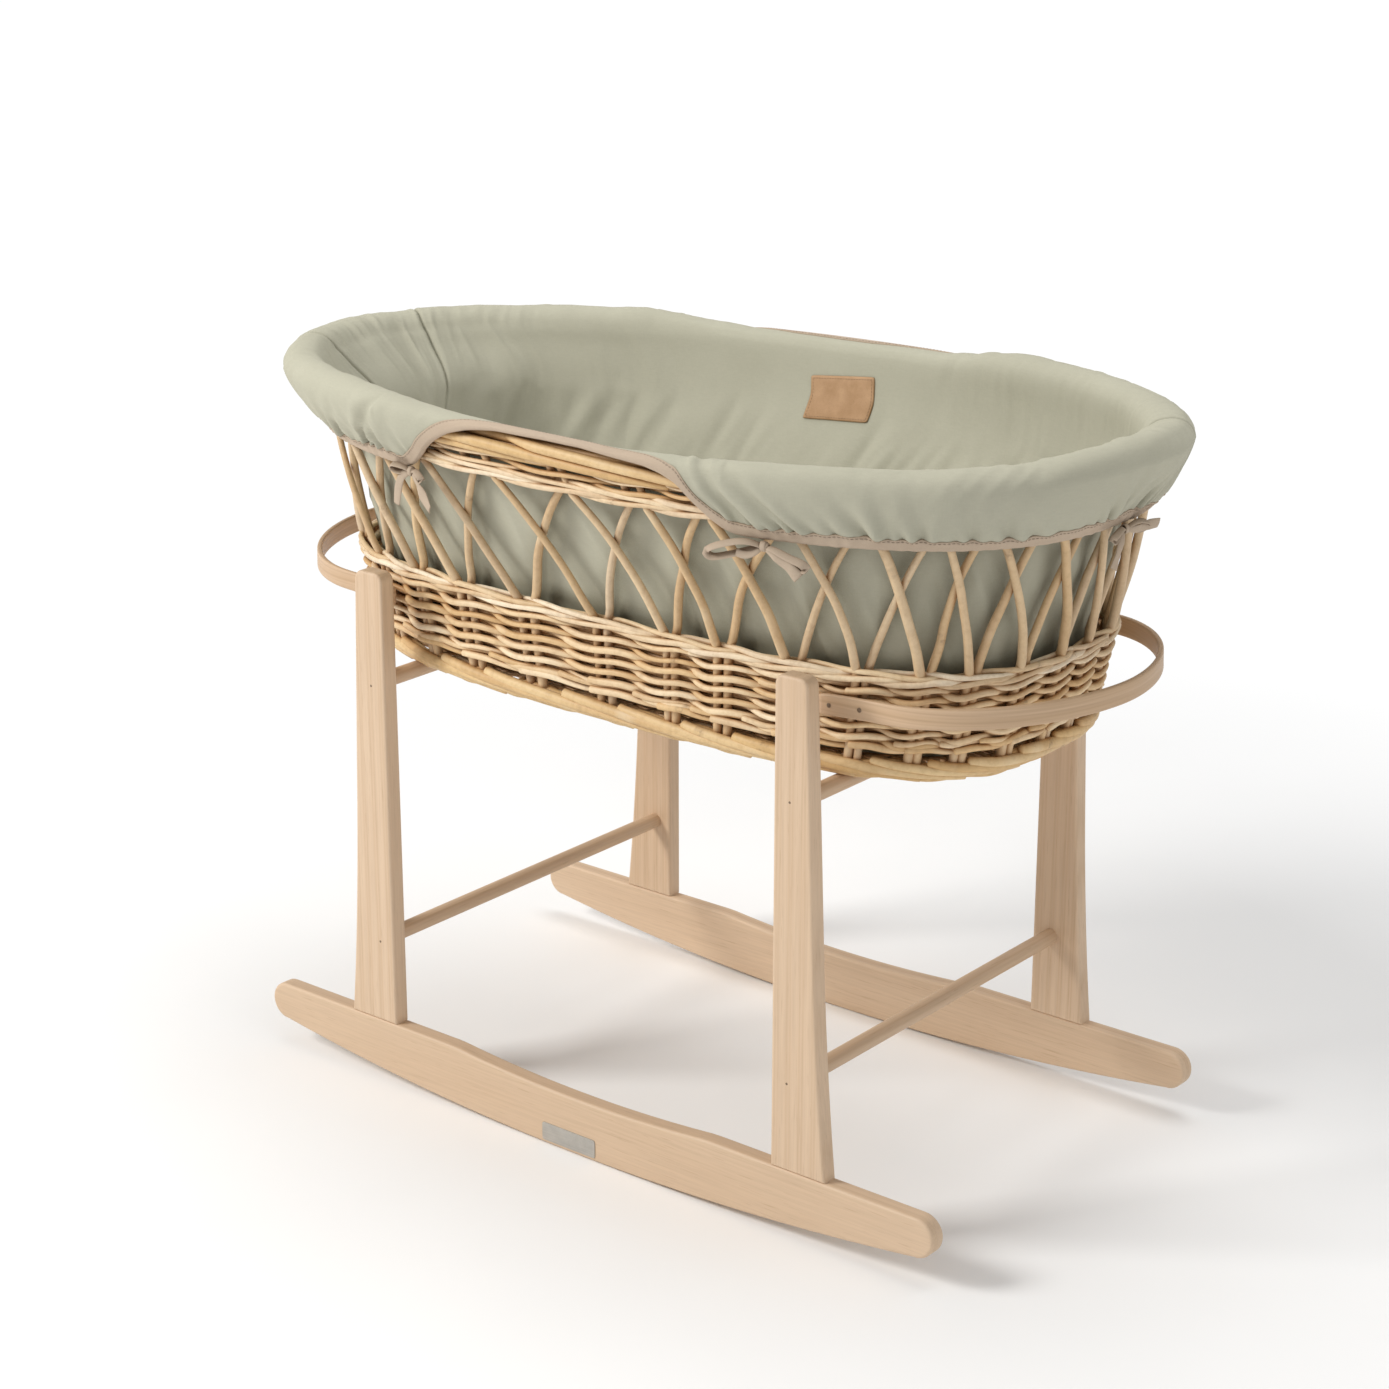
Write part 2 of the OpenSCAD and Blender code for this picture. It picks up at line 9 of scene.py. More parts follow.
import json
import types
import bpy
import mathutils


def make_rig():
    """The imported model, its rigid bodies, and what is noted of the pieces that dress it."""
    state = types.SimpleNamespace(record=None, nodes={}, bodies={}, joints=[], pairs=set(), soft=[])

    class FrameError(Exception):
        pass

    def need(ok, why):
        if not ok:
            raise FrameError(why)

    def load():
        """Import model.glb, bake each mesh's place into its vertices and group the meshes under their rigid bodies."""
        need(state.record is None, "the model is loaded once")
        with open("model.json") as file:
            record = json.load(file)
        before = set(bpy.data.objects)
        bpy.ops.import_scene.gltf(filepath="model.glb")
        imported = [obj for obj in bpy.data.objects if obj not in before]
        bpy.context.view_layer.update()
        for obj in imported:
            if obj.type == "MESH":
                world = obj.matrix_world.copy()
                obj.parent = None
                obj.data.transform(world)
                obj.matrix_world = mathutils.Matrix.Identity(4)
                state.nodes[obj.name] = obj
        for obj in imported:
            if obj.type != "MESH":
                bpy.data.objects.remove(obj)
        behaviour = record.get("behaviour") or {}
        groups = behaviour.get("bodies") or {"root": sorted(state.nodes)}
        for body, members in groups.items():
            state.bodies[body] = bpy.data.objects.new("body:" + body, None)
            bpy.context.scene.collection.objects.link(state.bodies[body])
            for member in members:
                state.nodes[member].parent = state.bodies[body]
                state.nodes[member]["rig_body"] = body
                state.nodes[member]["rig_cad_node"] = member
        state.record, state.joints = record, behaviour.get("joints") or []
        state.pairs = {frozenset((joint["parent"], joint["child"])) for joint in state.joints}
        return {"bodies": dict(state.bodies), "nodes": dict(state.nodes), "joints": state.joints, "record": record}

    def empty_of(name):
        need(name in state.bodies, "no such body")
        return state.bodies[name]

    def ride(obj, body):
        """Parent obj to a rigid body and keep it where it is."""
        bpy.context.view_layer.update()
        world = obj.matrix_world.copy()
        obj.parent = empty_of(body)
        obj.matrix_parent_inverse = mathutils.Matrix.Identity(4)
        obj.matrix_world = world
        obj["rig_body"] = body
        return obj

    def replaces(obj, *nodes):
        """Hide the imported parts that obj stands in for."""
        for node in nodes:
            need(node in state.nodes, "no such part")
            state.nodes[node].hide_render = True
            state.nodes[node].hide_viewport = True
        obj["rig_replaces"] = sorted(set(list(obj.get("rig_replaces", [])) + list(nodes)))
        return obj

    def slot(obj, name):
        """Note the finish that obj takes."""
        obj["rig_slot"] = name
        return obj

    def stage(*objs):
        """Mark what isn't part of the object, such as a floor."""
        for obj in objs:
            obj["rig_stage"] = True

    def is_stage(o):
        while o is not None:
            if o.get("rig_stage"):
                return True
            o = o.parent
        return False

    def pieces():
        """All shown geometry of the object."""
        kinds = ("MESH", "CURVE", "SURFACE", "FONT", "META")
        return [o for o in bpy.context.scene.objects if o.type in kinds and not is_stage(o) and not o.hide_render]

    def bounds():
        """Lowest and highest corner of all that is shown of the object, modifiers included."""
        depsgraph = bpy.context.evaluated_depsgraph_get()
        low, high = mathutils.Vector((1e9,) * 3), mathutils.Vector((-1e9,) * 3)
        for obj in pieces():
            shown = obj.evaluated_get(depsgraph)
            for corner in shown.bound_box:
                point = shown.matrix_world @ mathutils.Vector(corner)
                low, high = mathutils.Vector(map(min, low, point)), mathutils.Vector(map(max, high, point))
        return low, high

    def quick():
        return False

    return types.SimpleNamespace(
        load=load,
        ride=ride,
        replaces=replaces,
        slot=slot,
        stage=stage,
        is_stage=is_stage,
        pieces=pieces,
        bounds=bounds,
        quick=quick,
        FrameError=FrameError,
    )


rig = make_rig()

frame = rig.load()

import bpy
import bmesh
import json
import math
import numpy as np
from mathutils import Vector
from mathutils.bvhtree import BVHTree

CAD_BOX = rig.bounds()
MM = 0.001
TAU = 2 * math.pi
SIDES_OF_X = ((-1, "left"), (1, "right"))
NO_TRIS = np.zeros((0, 3), int)


# --------------------------------------------------------------------------
# small maths
# --------------------------------------------------------------------------
def unit(v):
    return v / np.maximum(np.linalg.norm(v, axis=-1, keepdims=True), 1e-9)


def smooth01(x):
    x = np.clip(x, 0, 1)
    return x * x * (3 - 2 * x)


def signed(turn):
    """A difference of turns, brought to -0.5..0.5."""
    return (turn + 0.5) % 1 - 0.5


def blur(samples, passes):
    """Circular smoothing over the first axis."""
    for _ in range(passes):
        samples = 0.25 * np.roll(samples, 1, 0) + 0.5 * samples + 0.25 * np.roll(samples, -1, 0)
    return samples


def arc_length(path):
    return np.concatenate([[0], np.cumsum(np.linalg.norm(np.diff(path, axis=0), axis=1))])


def square_to(tangent, direction):
    """The part of direction that is square to each tangent, at unit length."""
    return unit(direction - (direction * tangent).sum(1)[:, None] * tangent)


def superellipse(half_x, half_y, power, angle):
    cos, sin = np.cos(angle), np.sin(angle)
    return (half_x * np.sign(cos) * np.abs(cos) ** (2 / power),
            half_y * np.sign(sin) * np.abs(sin) ** (2 / power))


def arc(x, y, radius, degrees):
    return [(x + radius * math.cos(a), y + radius * math.sin(a)) for a in np.radians(degrees)]


def rounded_rectangle(half_width, half_height, radius, steps):
    """Outline whose corners have a point at each of the steps, in degrees from 0 to 90."""
    x, y = half_width - radius, half_height - radius
    points = []
    for corner_x, corner_y, start in ((x, y, 0), (-x, y, 90), (-x, -y, 180), (x, -y, 270)):
        points += arc(corner_x, corner_y, radius, [start + step for step in steps])
    return points


def catmull(points, t):
    """Smooth curve through control points, at parameter t in 0..n-1."""
    points = np.asarray(points, float)
    n = len(points)
    t = np.clip(t, 0, n - 1 - 1e-9)
    i = np.floor(t).astype(int)
    f = (t - i)[..., None]
    ext = np.vstack([2 * points[0] - points[1], points, 2 * points[-1] - points[-2]])
    p0, p1, p2, p3 = ext[i], ext[i + 1], ext[i + 2], ext[i + 3]
    return 0.5 * (2 * p1 + (p2 - p0) * f + (2 * p0 - 5 * p1 + 4 * p2 - p3) * f ** 2
                  + (3 * p1 - p0 - 3 * p2 + p3) * f ** 3)


# --------------------------------------------------------------------------
# the basket's wall
# --------------------------------------------------------------------------
# height, half length, half width, outline power, centre x, lift at x = 450
STATIONS = np.array([[424.2, 372, 182, 3.1, 0, 0], [526, 394, 192, 3.2, 0, 0],
                     [652, 424, 240, 2.5, 0, 0], [701, 476, 251, 2.1, -17, 8]], float)
LEVELS = np.linspace(424.2, 701.0, 94)
WALL_STEPS = 1440
# degrees round from the right end, rise of the rim: it dips along the front right
# and lifts at the right end
RIM_LINE = np.array([[0, 3], [20, 1], [40, 0], [266, 0], [275, -3], [286, -6], [300, -8],
                     [318, -8], [335, -4], [350, 1], [360, 3]], float)


def wall_tables():
    """Points, outward normals and outline length of the wall at every level."""
    degrees = np.linspace(0, 360, 7201)
    angle = np.radians(degrees)
    rim = np.interp(degrees, RIM_LINE[:, 0], RIM_LINE[:, 1])[:-1]
    kernel = np.exp(-np.linspace(-2.5, 2.5, 241) ** 2)
    padded = np.concatenate([rim[-120:], rim, rim[:120]])
    rim = np.convolve(padded, kernel / kernel.sum(), "valid")
    rim = np.append(rim, rim[0])
    points, normals, lengths = [], [], []
    for z in LEVELS:
        half_x, half_y, power, centre, lift = [
            np.interp(z, STATIONS[:, 0], STATIONS[:, k]) for k in range(1, 6)]
        x, y = superellipse(half_x, half_y, power, angle)
        rise = lift * x / 450 + rim * np.clip((z - 652) / 49.0, 0, 1)
        outline = np.stack([centre + x, y, rise], 1)
        length = arc_length(outline[:, :2])
        even = np.linspace(0, 1, WALL_STEPS + 1) * length[-1]
        even = np.stack([np.interp(even, length, outline[:, k]) for k in range(3)], 1)
        along = np.roll(even[:-1], -3, 0) - np.roll(even[:-1], 3, 0)
        normal = unit(np.stack([along[:, 1], -along[:, 0]], 1))
        for _ in range(6):
            normal = unit(np.roll(normal, 1, 0) + 2 * normal + np.roll(normal, -1, 0))
        points.append(even)
        normals.append(np.vstack([normal, normal[:1]]))
        lengths.append(length[-1])
    return np.array(points), np.array(normals), np.array(lengths)


WALL_POINTS, WALL_NORMALS, WALL_LENGTHS = wall_tables()


def length_at(z):
    return float(np.interp(z, LEVELS, WALL_LENGTHS))


def look_up(table, turn, z):
    turn = np.asarray(turn, float) % 1.0 * WALL_STEPS
    i = np.floor(turn).astype(int)
    j = (i + 1) % (WALL_STEPS + 1)
    side = (turn - i)[..., None]
    level = (np.clip(z, LEVELS[0], LEVELS[-1]) - LEVELS[0]) / (LEVELS[1] - LEVELS[0])
    k = np.minimum(np.floor(level).astype(int), len(LEVELS) - 2)
    up = (level - k)[..., None]
    low = table[k, i] * (1 - side) + table[k, j] * side
    high = table[k + 1, i] * (1 - side) + table[k + 1, j] * side
    return low * (1 - up) + high * up


def wall_at(turn, z, out):
    """The point at a place on the wall."""
    turn, z, out = np.broadcast_arrays(*(np.asarray(a, float) for a in (turn, z, out)))
    point = look_up(WALL_POINTS, turn, z)
    point[..., :2] += look_up(WALL_NORMALS, turn, z) * out[..., None]
    point[..., 2] += z
    return point


def wall_out(turn, z):
    """The outward direction, which is level."""
    turn, z = np.broadcast_arrays(np.asarray(turn, float), np.asarray(z, float))
    normal = look_up(WALL_NORMALS, turn, z)
    return np.concatenate([normal, np.zeros(normal.shape[:-1] + (1,))], -1)


# --------------------------------------------------------------------------
# mesh helpers
# --------------------------------------------------------------------------
def grid_quads(index, close_rows=False, close_columns=False):
    """Quads over a grid of vertex numbers."""
    if close_rows:
        index = np.vstack([index, index[:1]])
    if close_columns:
        index = np.hstack([index, index[:, :1]])
    corners = [index[:-1, :-1], index[1:, :-1], index[1:, 1:], index[:-1, 1:]]
    return np.stack(corners, -1).reshape(-1, 4)


def ring_quads(index, closed=False):
    """Quads between rings, which are the grid's rows."""
    return grid_quads(index, closed, True)[:, [0, 3, 2, 1]]


def end_fans(index):
    """Fans closing the first and last ring; their hubs are numbered after the grid."""
    first, last = index[0], index[-1]
    hub = np.full(len(first), index.size)
    return np.concatenate([np.stack([hub, np.roll(first, -1), first], 1),
                           np.stack([hub + 1, last, np.roll(last, -1)], 1)])


def numbered(rows, columns):
    return np.arange(rows * columns).reshape(rows, columns)


def link(ob):
    bpy.context.scene.collection.objects.link(ob)
    return ob


def make_mesh(name, verts, quads, tris=NO_TRIS):
    """A smooth-shaded object from points in millimetres."""
    mesh = bpy.data.meshes.new(name)
    quad_count, tri_count = len(quads), len(tris)
    mesh.vertices.add(len(verts))
    mesh.vertices.foreach_set("co", np.asarray(verts * MM, np.float32).ravel())
    mesh.loops.add(quad_count * 4 + tri_count * 3)
    corners = np.concatenate([quads.ravel(), tris.ravel()]).astype(np.int32)
    mesh.loops.foreach_set("vertex_index", corners)
    mesh.polygons.add(quad_count + tri_count)
    starts = np.concatenate([np.arange(quad_count) * 4,
                             quad_count * 4 + np.arange(tri_count) * 3]).astype(np.int32)
    mesh.polygons.foreach_set("loop_start", starts)
    mesh.polygons.foreach_set("use_smooth", np.full(quad_count + tri_count, True))
    mesh.update(calc_edges=True)
    mesh.validate()
    return link(bpy.data.objects.new(name, mesh))


def dress(ob, body, material, replaces, slot):
    ob.data.materials.append(material)
    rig.ride(ob, body)
    if replaces:
        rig.replaces(ob, *replaces)
    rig.slot(ob, slot)


def face_outward(ob):
    bm = bmesh.new()
    bm.from_mesh(ob.data)
    bmesh.ops.recalc_face_normals(bm, faces=bm.faces)
    bm.to_mesh(ob.data)
    bm.free()


def apply_modifiers(ob):
    depsgraph = bpy.context.evaluated_depsgraph_get()
    mesh = bpy.data.meshes.new_from_object(ob.evaluated_get(depsgraph))
    ob.modifiers.clear()
    old = ob.data
    ob.data = mesh
    bpy.data.meshes.remove(old)


def read_points(mesh):
    points = np.empty(len(mesh.vertices) * 3, np.float32)
    mesh.vertices.foreach_get("co", points)
    return points.reshape(-1, 3)


def simulate_cloth(ob, frames, cache_end, **settings):
    """Weightless cloth under pressure, held by the group "pin"; the points after frames."""
    cloth = ob.modifiers.new("cloth", "CLOTH")
    for key, value in settings.items():
        setattr(cloth.settings, key, value)
    cloth.settings.use_pressure = True
    cloth.settings.vertex_group_mass = "pin"
    cloth.settings.effector_weights.gravity = 0.0
    cloth.collision_settings.use_collision = False
    cloth.collision_settings.use_self_collision = False
    cloth.point_cache.frame_start = 1
    cloth.point_cache.frame_end = cache_end
    for number in range(1, frames + 1):
        bpy.context.scene.frame_set(number)
    depsgraph = bpy.context.evaluated_depsgraph_get()
    points = read_points(ob.evaluated_get(depsgraph).data)
    ob.modifiers.clear()
    bpy.context.scene.frame_set(1)
    return points


class Parts:
    """Collects swept pieces into one mesh.

    Each vertex carries "rid", a tone number of its piece, and "along", its distance
    along the piece; the materials read both.
    """

    def __init__(self):
        self.verts, self.quads, self.tris, self.rid, self.along = [], [], [], [], []
        self.count = 0

    def add(self, rings, along, ends=None, rid=0.0):
        """Joins rings of points; ends are the hubs of the closing fans, None for a loop."""
        rows, columns = rings.shape[:2]
        index = numbered(rows, columns)
        verts = rings.reshape(-1, 3)
        distance = np.repeat(along, columns)
        tris = NO_TRIS
        if ends is not None:
            verts = np.vstack([verts, *ends])
            distance = np.concatenate([distance, along[:1], along[-1:]])
            tris = end_fans(index)
        self.verts.append(verts)
        self.quads.append(ring_quads(index, ends is None) + self.count)
        self.tris.append(tris + self.count)
        self.rid.append(np.full(len(verts), rid))
        self.along.append(distance)
        self.count += len(verts)

    @staticmethod
    def round_rings(path, radius, first, tangent, sides):
        second = np.cross(tangent, first)
        angle = np.arange(sides) / sides * TAU
        circle = (np.cos(angle)[None, :, None] * first[:, None, :]
                  + np.sin(angle)[None, :, None] * second[:, None, :])
        return path[:, None, :] + radius[:, None, None] * circle

    def tube(self, path, radius, across, sides=8, rid=0.0, start=0.0, rounded=True):
        """A round rod; across is a direction roughly square to the path."""
        path = np.asarray(path, float)
        radius = np.broadcast_to(np.asarray(radius, float), (len(path),))
        tangent = unit(np.gradient(path, axis=0))
        first = square_to(tangent, across)
        if rounded:
            turn = np.radians([90, 60])
            reach = 0.45 * np.sin(turn)[:, None]
            shrink = np.maximum(np.cos(turn), 0.06)
            head = path[0] - tangent[0] * radius[0] * reach
            tail = path[-1] + tangent[-1] * radius[-1] * reach
            path = np.vstack([head, path, tail[::-1]])
            radius = np.concatenate([radius[0] * shrink, radius, radius[-1] * shrink[::-1]])
            first = np.pad(first, ((2, 2), (0, 0)), mode="edge")
            tangent = np.pad(tangent, ((2, 2), (0, 0)), mode="edge")
        rings = self.round_rings(path, radius, first, tangent, sides)
        self.add(rings, arc_length(path) + start, (path[0], path[-1]), rid)

    def loop(self, path, radius, across, sides=8, rid=0.0):
        """A closed ring of rod."""
        radius = np.broadcast_to(np.asarray(radius, float), (len(path),))
        tangent = unit(np.roll(path, -1, 0) - np.roll(path, 1, 0))
        first = square_to(tangent, across)
        rings = self.round_rings(path, radius, first, tangent, sides)
        self.add(rings, arc_length(path), rid=rid)

    def section(self, path, outline, first, second, rid=0.0, closed=False):
        """Sweeps an outline of (a, b) points: a lies along first, b along second."""
        outline = np.asarray(outline, float)
        rings = (path[:, None, :] + outline[..., 0:1] * first[:, None, :]
                 + outline[..., 1:2] * second[:, None, :])
        ends = None if closed else (rings[0].mean(0), rings[-1].mean(0))
        self.add(rings, arc_length(path), ends, rid)

    def build(self, name, body, material, replaces, slot):
        ob = make_mesh(name, np.vstack(self.verts), np.vstack(self.quads), np.vstack(self.tris))
        for key, values in (("rid", np.concatenate(self.rid)),
                            ("along", np.concatenate(self.along) * MM)):
            attribute = ob.data.attributes.new(key, "FLOAT", "POINT")
            attribute.data.foreach_set("value", values.astype(np.float32))
        dress(ob, body, material, replaces, slot)
        return ob


# --------------------------------------------------------------------------
# node graphs
# --------------------------------------------------------------------------
class Graph:
    """Short forms for building a node tree."""

    def __init__(self, owner):
        owner.use_nodes = True
        self.tree = owner.node_tree

    def put(self, socket, value):
        """Links an output to the socket, or sets its value; colours are given as RGB."""
        if isinstance(value, bpy.types.NodeSocket):
            self.tree.links.new(value, socket)
        elif socket.type == "RGBA":
            socket.default_value = (*value, 1)
        else:
            socket.default_value = value

    def node(self, kind, inputs=None, **settings):
        node = self.tree.nodes.new("ShaderNode" + kind)
        for key, value in settings.items():
            setattr(node, key, value)
        for key, value in (inputs or {}).items():
            self.put(node.inputs[key], value)
        return node

    def math(self, operation, a, b=0.0):
        return self.node("Math", {0: a, 1: b}, operation=operation).outputs[0]

    def times(self, a, b):
        return self.math("MULTIPLY", a, b)

    def plus(self, a, b):
        return self.math("ADD", a, b)

    def choose(self, when, a, b):
        """a where when is 1, b where it is 0."""
        return self.plus(self.times(a, when), self.times(b, self.math("SUBTRACT", 1.0, when)))

    def coords(self):
        return self.node("TexCoord").outputs["Object"]

    def attribute(self, name):
        return self.node("Attribute", attribute_name=name).outputs["Fac"]

    def split(self, vector):
        return self.node("SeparateXYZ", {0: vector}).outputs

    def stretch(self, vector, scale):
        scale = scale if isinstance(scale, tuple) else (scale,) * 3
        return self.node("Mapping", {"Vector": vector, "Scale": scale}).outputs["Vector"]

    def plane(self, first, second):
        """A 2D position from two (value, scale) pairs."""
        return self.node("CombineXYZ", {0: self.times(*first), 1: self.times(*second)}).outputs[0]

    def noise(self, vector, scale=None, detail=4.0, rough=0.55, distort=0.0):
        if scale is not None:
            vector = self.stretch(vector, scale)
        return self.node("TexNoise", {"Vector": vector, "Scale": 1.0, "Detail": detail,
                                      "Roughness": rough, "Distortion": distort}).outputs["Fac"]

    def ramp(self, value, *stops):
        """Stops are (position, colour); a single number is a grey."""
        node = self.node("ValToRGB", {"Fac": value})
        elements = node.color_ramp.elements
        elements.remove(elements[-1])
        elements[0].position = stops[0][0]
        for number, (position, colour) in enumerate(stops):
            element = elements.new(position) if number else elements[0]
            element.color = (*np.broadcast_to(colour, 3), 1)
        return node.outputs["Color"]

    def mix(self, a, b, amount, kind="MIX"):
        return self.node("Mix", {0: amount, 6: a, 7: b}, data_type="RGBA",
                         blend_type=kind).outputs[2]

    def shade(self, a, b, amount):
        return self.mix(a, b, amount, kind="MULTIPLY")

    def remap(self, value, between, to=(0.0, 1.0)):
        return self.node("MapRange", {0: value, 1: between[0], 2: between[1],
                                      3: to[0], 4: to[1]}).outputs[0]

    def occlusion(self, distance):
        return self.node("AmbientOcclusion", {"Distance": distance}, samples=6).outputs["AO"]

    def bump(self, height, strength, distance, normal=None):
        inputs = {"Strength": strength, "Distance": distance, "Height": height}
        if normal is not None:
            inputs["Normal"] = normal
        return self.node("Bump", inputs).outputs["Normal"]


class Surface(Graph):
    """A new material with one Principled shader."""

    def __init__(self, name):
        self.material = bpy.data.materials.new(name)
        super().__init__(self.material)
        self.tree.nodes.clear()
        self.output = self.node("OutputMaterial").inputs["Surface"]
        self.shader = self.node("BsdfPrincipled")
        self.put(self.output, self.shader.outputs["BSDF"])

    def finish(self, inputs):
        for key, value in inputs.items():
            self.put(self.shader.inputs[key], value)
        return self.material


def toward(a, b, amount):
    """A colour part of the way from a to b."""
    return tuple(p + (q - p) * amount for p, q in zip(a, b))


def scaled(colour, factor):
    return tuple(c * factor for c in colour)


def axis_scale(axis, along, across):
    """Texture scale with one value along an axis (0 x, 1 y, 2 z) and one across it."""
    return tuple(along if k == axis else across for k in range(3))


# --------------------------------------------------------------------------
# materials
# --------------------------------------------------------------------------
PORE_BROWN = (0.34, 0.19, 0.09)


def wood_material(name, axis, light, dark, seed):
    """Planed wood with straight growth lines along one axis."""
    mat = Surface(name)
    place = mat.node("Mapping", {"Vector": mat.coords(),
                                 "Location": scaled((0.37, 0.91, 0.53), seed)}).outputs["Vector"]
    # slow drift in how strong the growth lines are
    drift = mat.noise(place, scale=axis_scale(axis, along=0.9, across=4.0), detail=2.0)
    wave = mat.node("TexWave", {
        "Vector": mat.stretch(place, axis_scale(axis, along=1.1, across=22.0)),
        "Scale": 1.1, "Distortion": 3.2, "Detail": 3.0, "Detail Scale": 0.55,
        "Detail Roughness": 0.6}, wave_type="BANDS", bands_direction="YXX"[axis])
    lines = mat.ramp(wave.outputs["Fac"], (0.0, 0.0), (0.55, 0.18), (0.86, 0.85), (1.0, 0.35))
    fibre = mat.noise(place, scale=axis_scale(axis, along=9.0, across=420.0), detail=3.0,
                      rough=0.6)
    pores = mat.noise(place, scale=axis_scale(axis, along=34.0, across=900.0), detail=2.0,
                      rough=0.5)
    pores = mat.remap(pores, between=(0.62, 0.72))
    tone = mat.noise(place, scale=axis_scale(axis, along=1.4, across=7.0), detail=3.0)
    halfway = tuple(0.5 * (a + b) for a, b in zip(light, dark))
    base = mat.mix(light, halfway, amount=mat.remap(tone, between=(0.3, 0.7)))
    strength = mat.remap(drift, between=(0.3, 0.7), to=(0.25, 0.85))
    base = mat.mix(base, dark, amount=mat.times(lines, strength))
    fibre_tint = mat.ramp(fibre, (0.3, (0.78, 0.74, 0.70)), (0.62, (1.06, 1.05, 1.04)))
    base = mat.shade(base, fibre_tint, amount=0.35)
    base = mat.mix(base, PORE_BROWN, amount=mat.times(pores, 0.25))
    # worn, paler edges
    worn = mat.remap(mat.node("NewGeometry").outputs["Pointiness"], between=(0.51, 0.58),
                     to=(0.0, 0.35))
    base = mat.mix(base, tuple(min(1.0, c * 1.12) for c in light), amount=worn)
    height = mat.plus(mat.times(fibre, 0.5), mat.times(lines, 0.35))
    height = mat.math("SUBTRACT", height, mat.times(pores, 0.5))
    return mat.finish({
        "Base Color": base, "Roughness": mat.plus(mat.times(fibre, 0.22), 0.42),
        "Normal": mat.bump(height, strength=0.18, distance=0.0006),
        "Specular IOR Level": 0.35, "Coat Weight": 0.06, "Coat Roughness": 0.35})


def strip_material(name):
    """A bent strip: the grain runs along the sweep."""
    mat = Surface(name)
    height = mat.split(mat.coords())[2]
    grain = mat.noise(mat.plane((mat.attribute("along"), 6.0), (height, 420.0)),
                      rough=0.6, distort=0.3)
    broad = mat.noise(mat.plane((mat.attribute("along"), 2.4), (height, 90.0)),
                      detail=2.0, rough=0.5)
    base = mat.mix((0.60, 0.425, 0.275), (0.51, 0.345, 0.205),
                   amount=mat.remap(broad, between=(0.35, 0.7)))
    grain_tint = mat.ramp(grain, (0.3, (0.74, 0.68, 0.62)), (0.6, (1.05, 1.04, 1.03)))
    return mat.finish({
        "Base Color": mat.shade(base, grain_tint, amount=0.55),
        "Roughness": mat.plus(mat.times(grain, 0.25), 0.36),
        "Normal": mat.bump(grain, strength=0.2, distance=0.0005),
        "Specular IOR Level": 0.4})


def willow_material(name, tones, grey=0.0):
    """Peeled willow: every rod its own tone, streaks along it, darker scars, and painted shade between the rods."""
    mat = Surface(name)
    rid, along, place = mat.attribute("rid"), mat.attribute("along"), mat.coords()
    slow = mat.noise(mat.plane((along, 5.0), (rid, 37.0)), detail=3.0, rough=0.6)
    base = mat.mix(mat.ramp(rid, *tones), (0.56, 0.34, 0.145),
                   amount=mat.remap(slow, between=(0.35, 0.72), to=(0.0, 0.75)))
    fine = mat.noise(place, scale=900, detail=3.0, rough=0.6)
    medium = mat.noise(place, scale=160, rough=0.65)
    mottle = mat.ramp(medium, (0.28, (0.70, 0.62, 0.52)), (0.55, 1.0), (0.8, (1.10, 1.08, 1.05)))
    base = mat.shade(base, mottle, amount=0.5)
    # pale scraped streaks left by peeling
    streak = mat.noise(mat.plane((along, 16.0), (rid, 91.0)), detail=2.0, rough=0.5)
    base = mat.mix(base, (0.86, 0.72, 0.50),
                   amount=mat.remap(streak, between=(0.58, 0.72), to=(0.0, 0.45)))
    # bud scars
    cells = mat.node("TexVoronoi", feature="F1", voronoi_dimensions="2D")
    mat.put(cells.inputs["Vector"], mat.plane((along, 13.0), (rid, 53.0)))
    mat.put(cells.inputs["Scale"], 1.0)
    scar = mat.times(mat.remap(cells.outputs["Distance"], between=(0.03, 0.09), to=(1.0, 0.0)),
                     mat.remap(medium, between=(0.45, 0.6)))
    base = mat.mix(base, (0.20, 0.10, 0.045), amount=mat.times(scar, 0.6))
    if grey:
        weathered = mat.remap(slow, between=(0.2, 0.8), to=(0.4, 1.0))
        base = mat.mix(base, (0.50, 0.40, 0.29), amount=mat.times(weathered, grey))
    # painted shade between the rods: ambient occlusion darkens the colour where the rods meet
    hidden = mat.remap(mat.occlusion(0.012), between=(0.25, 0.85), to=(1.0, 0.0))
    base = mat.shade(base, (0.52, 0.30, 0.12), amount=mat.times(hidden, 0.72))
    height = mat.plus(mat.times(medium, 0.7), mat.times(fine, 0.3))
    height = mat.plus(height, mat.times(scar, 0.6))
    return mat.finish({
        "Base Color": base, "Roughness": mat.plus(mat.times(medium, 0.25), 0.4),
        "Normal": mat.bump(height, strength=0.30, distance=0.0008),
        "Specular IOR Level": 0.4})


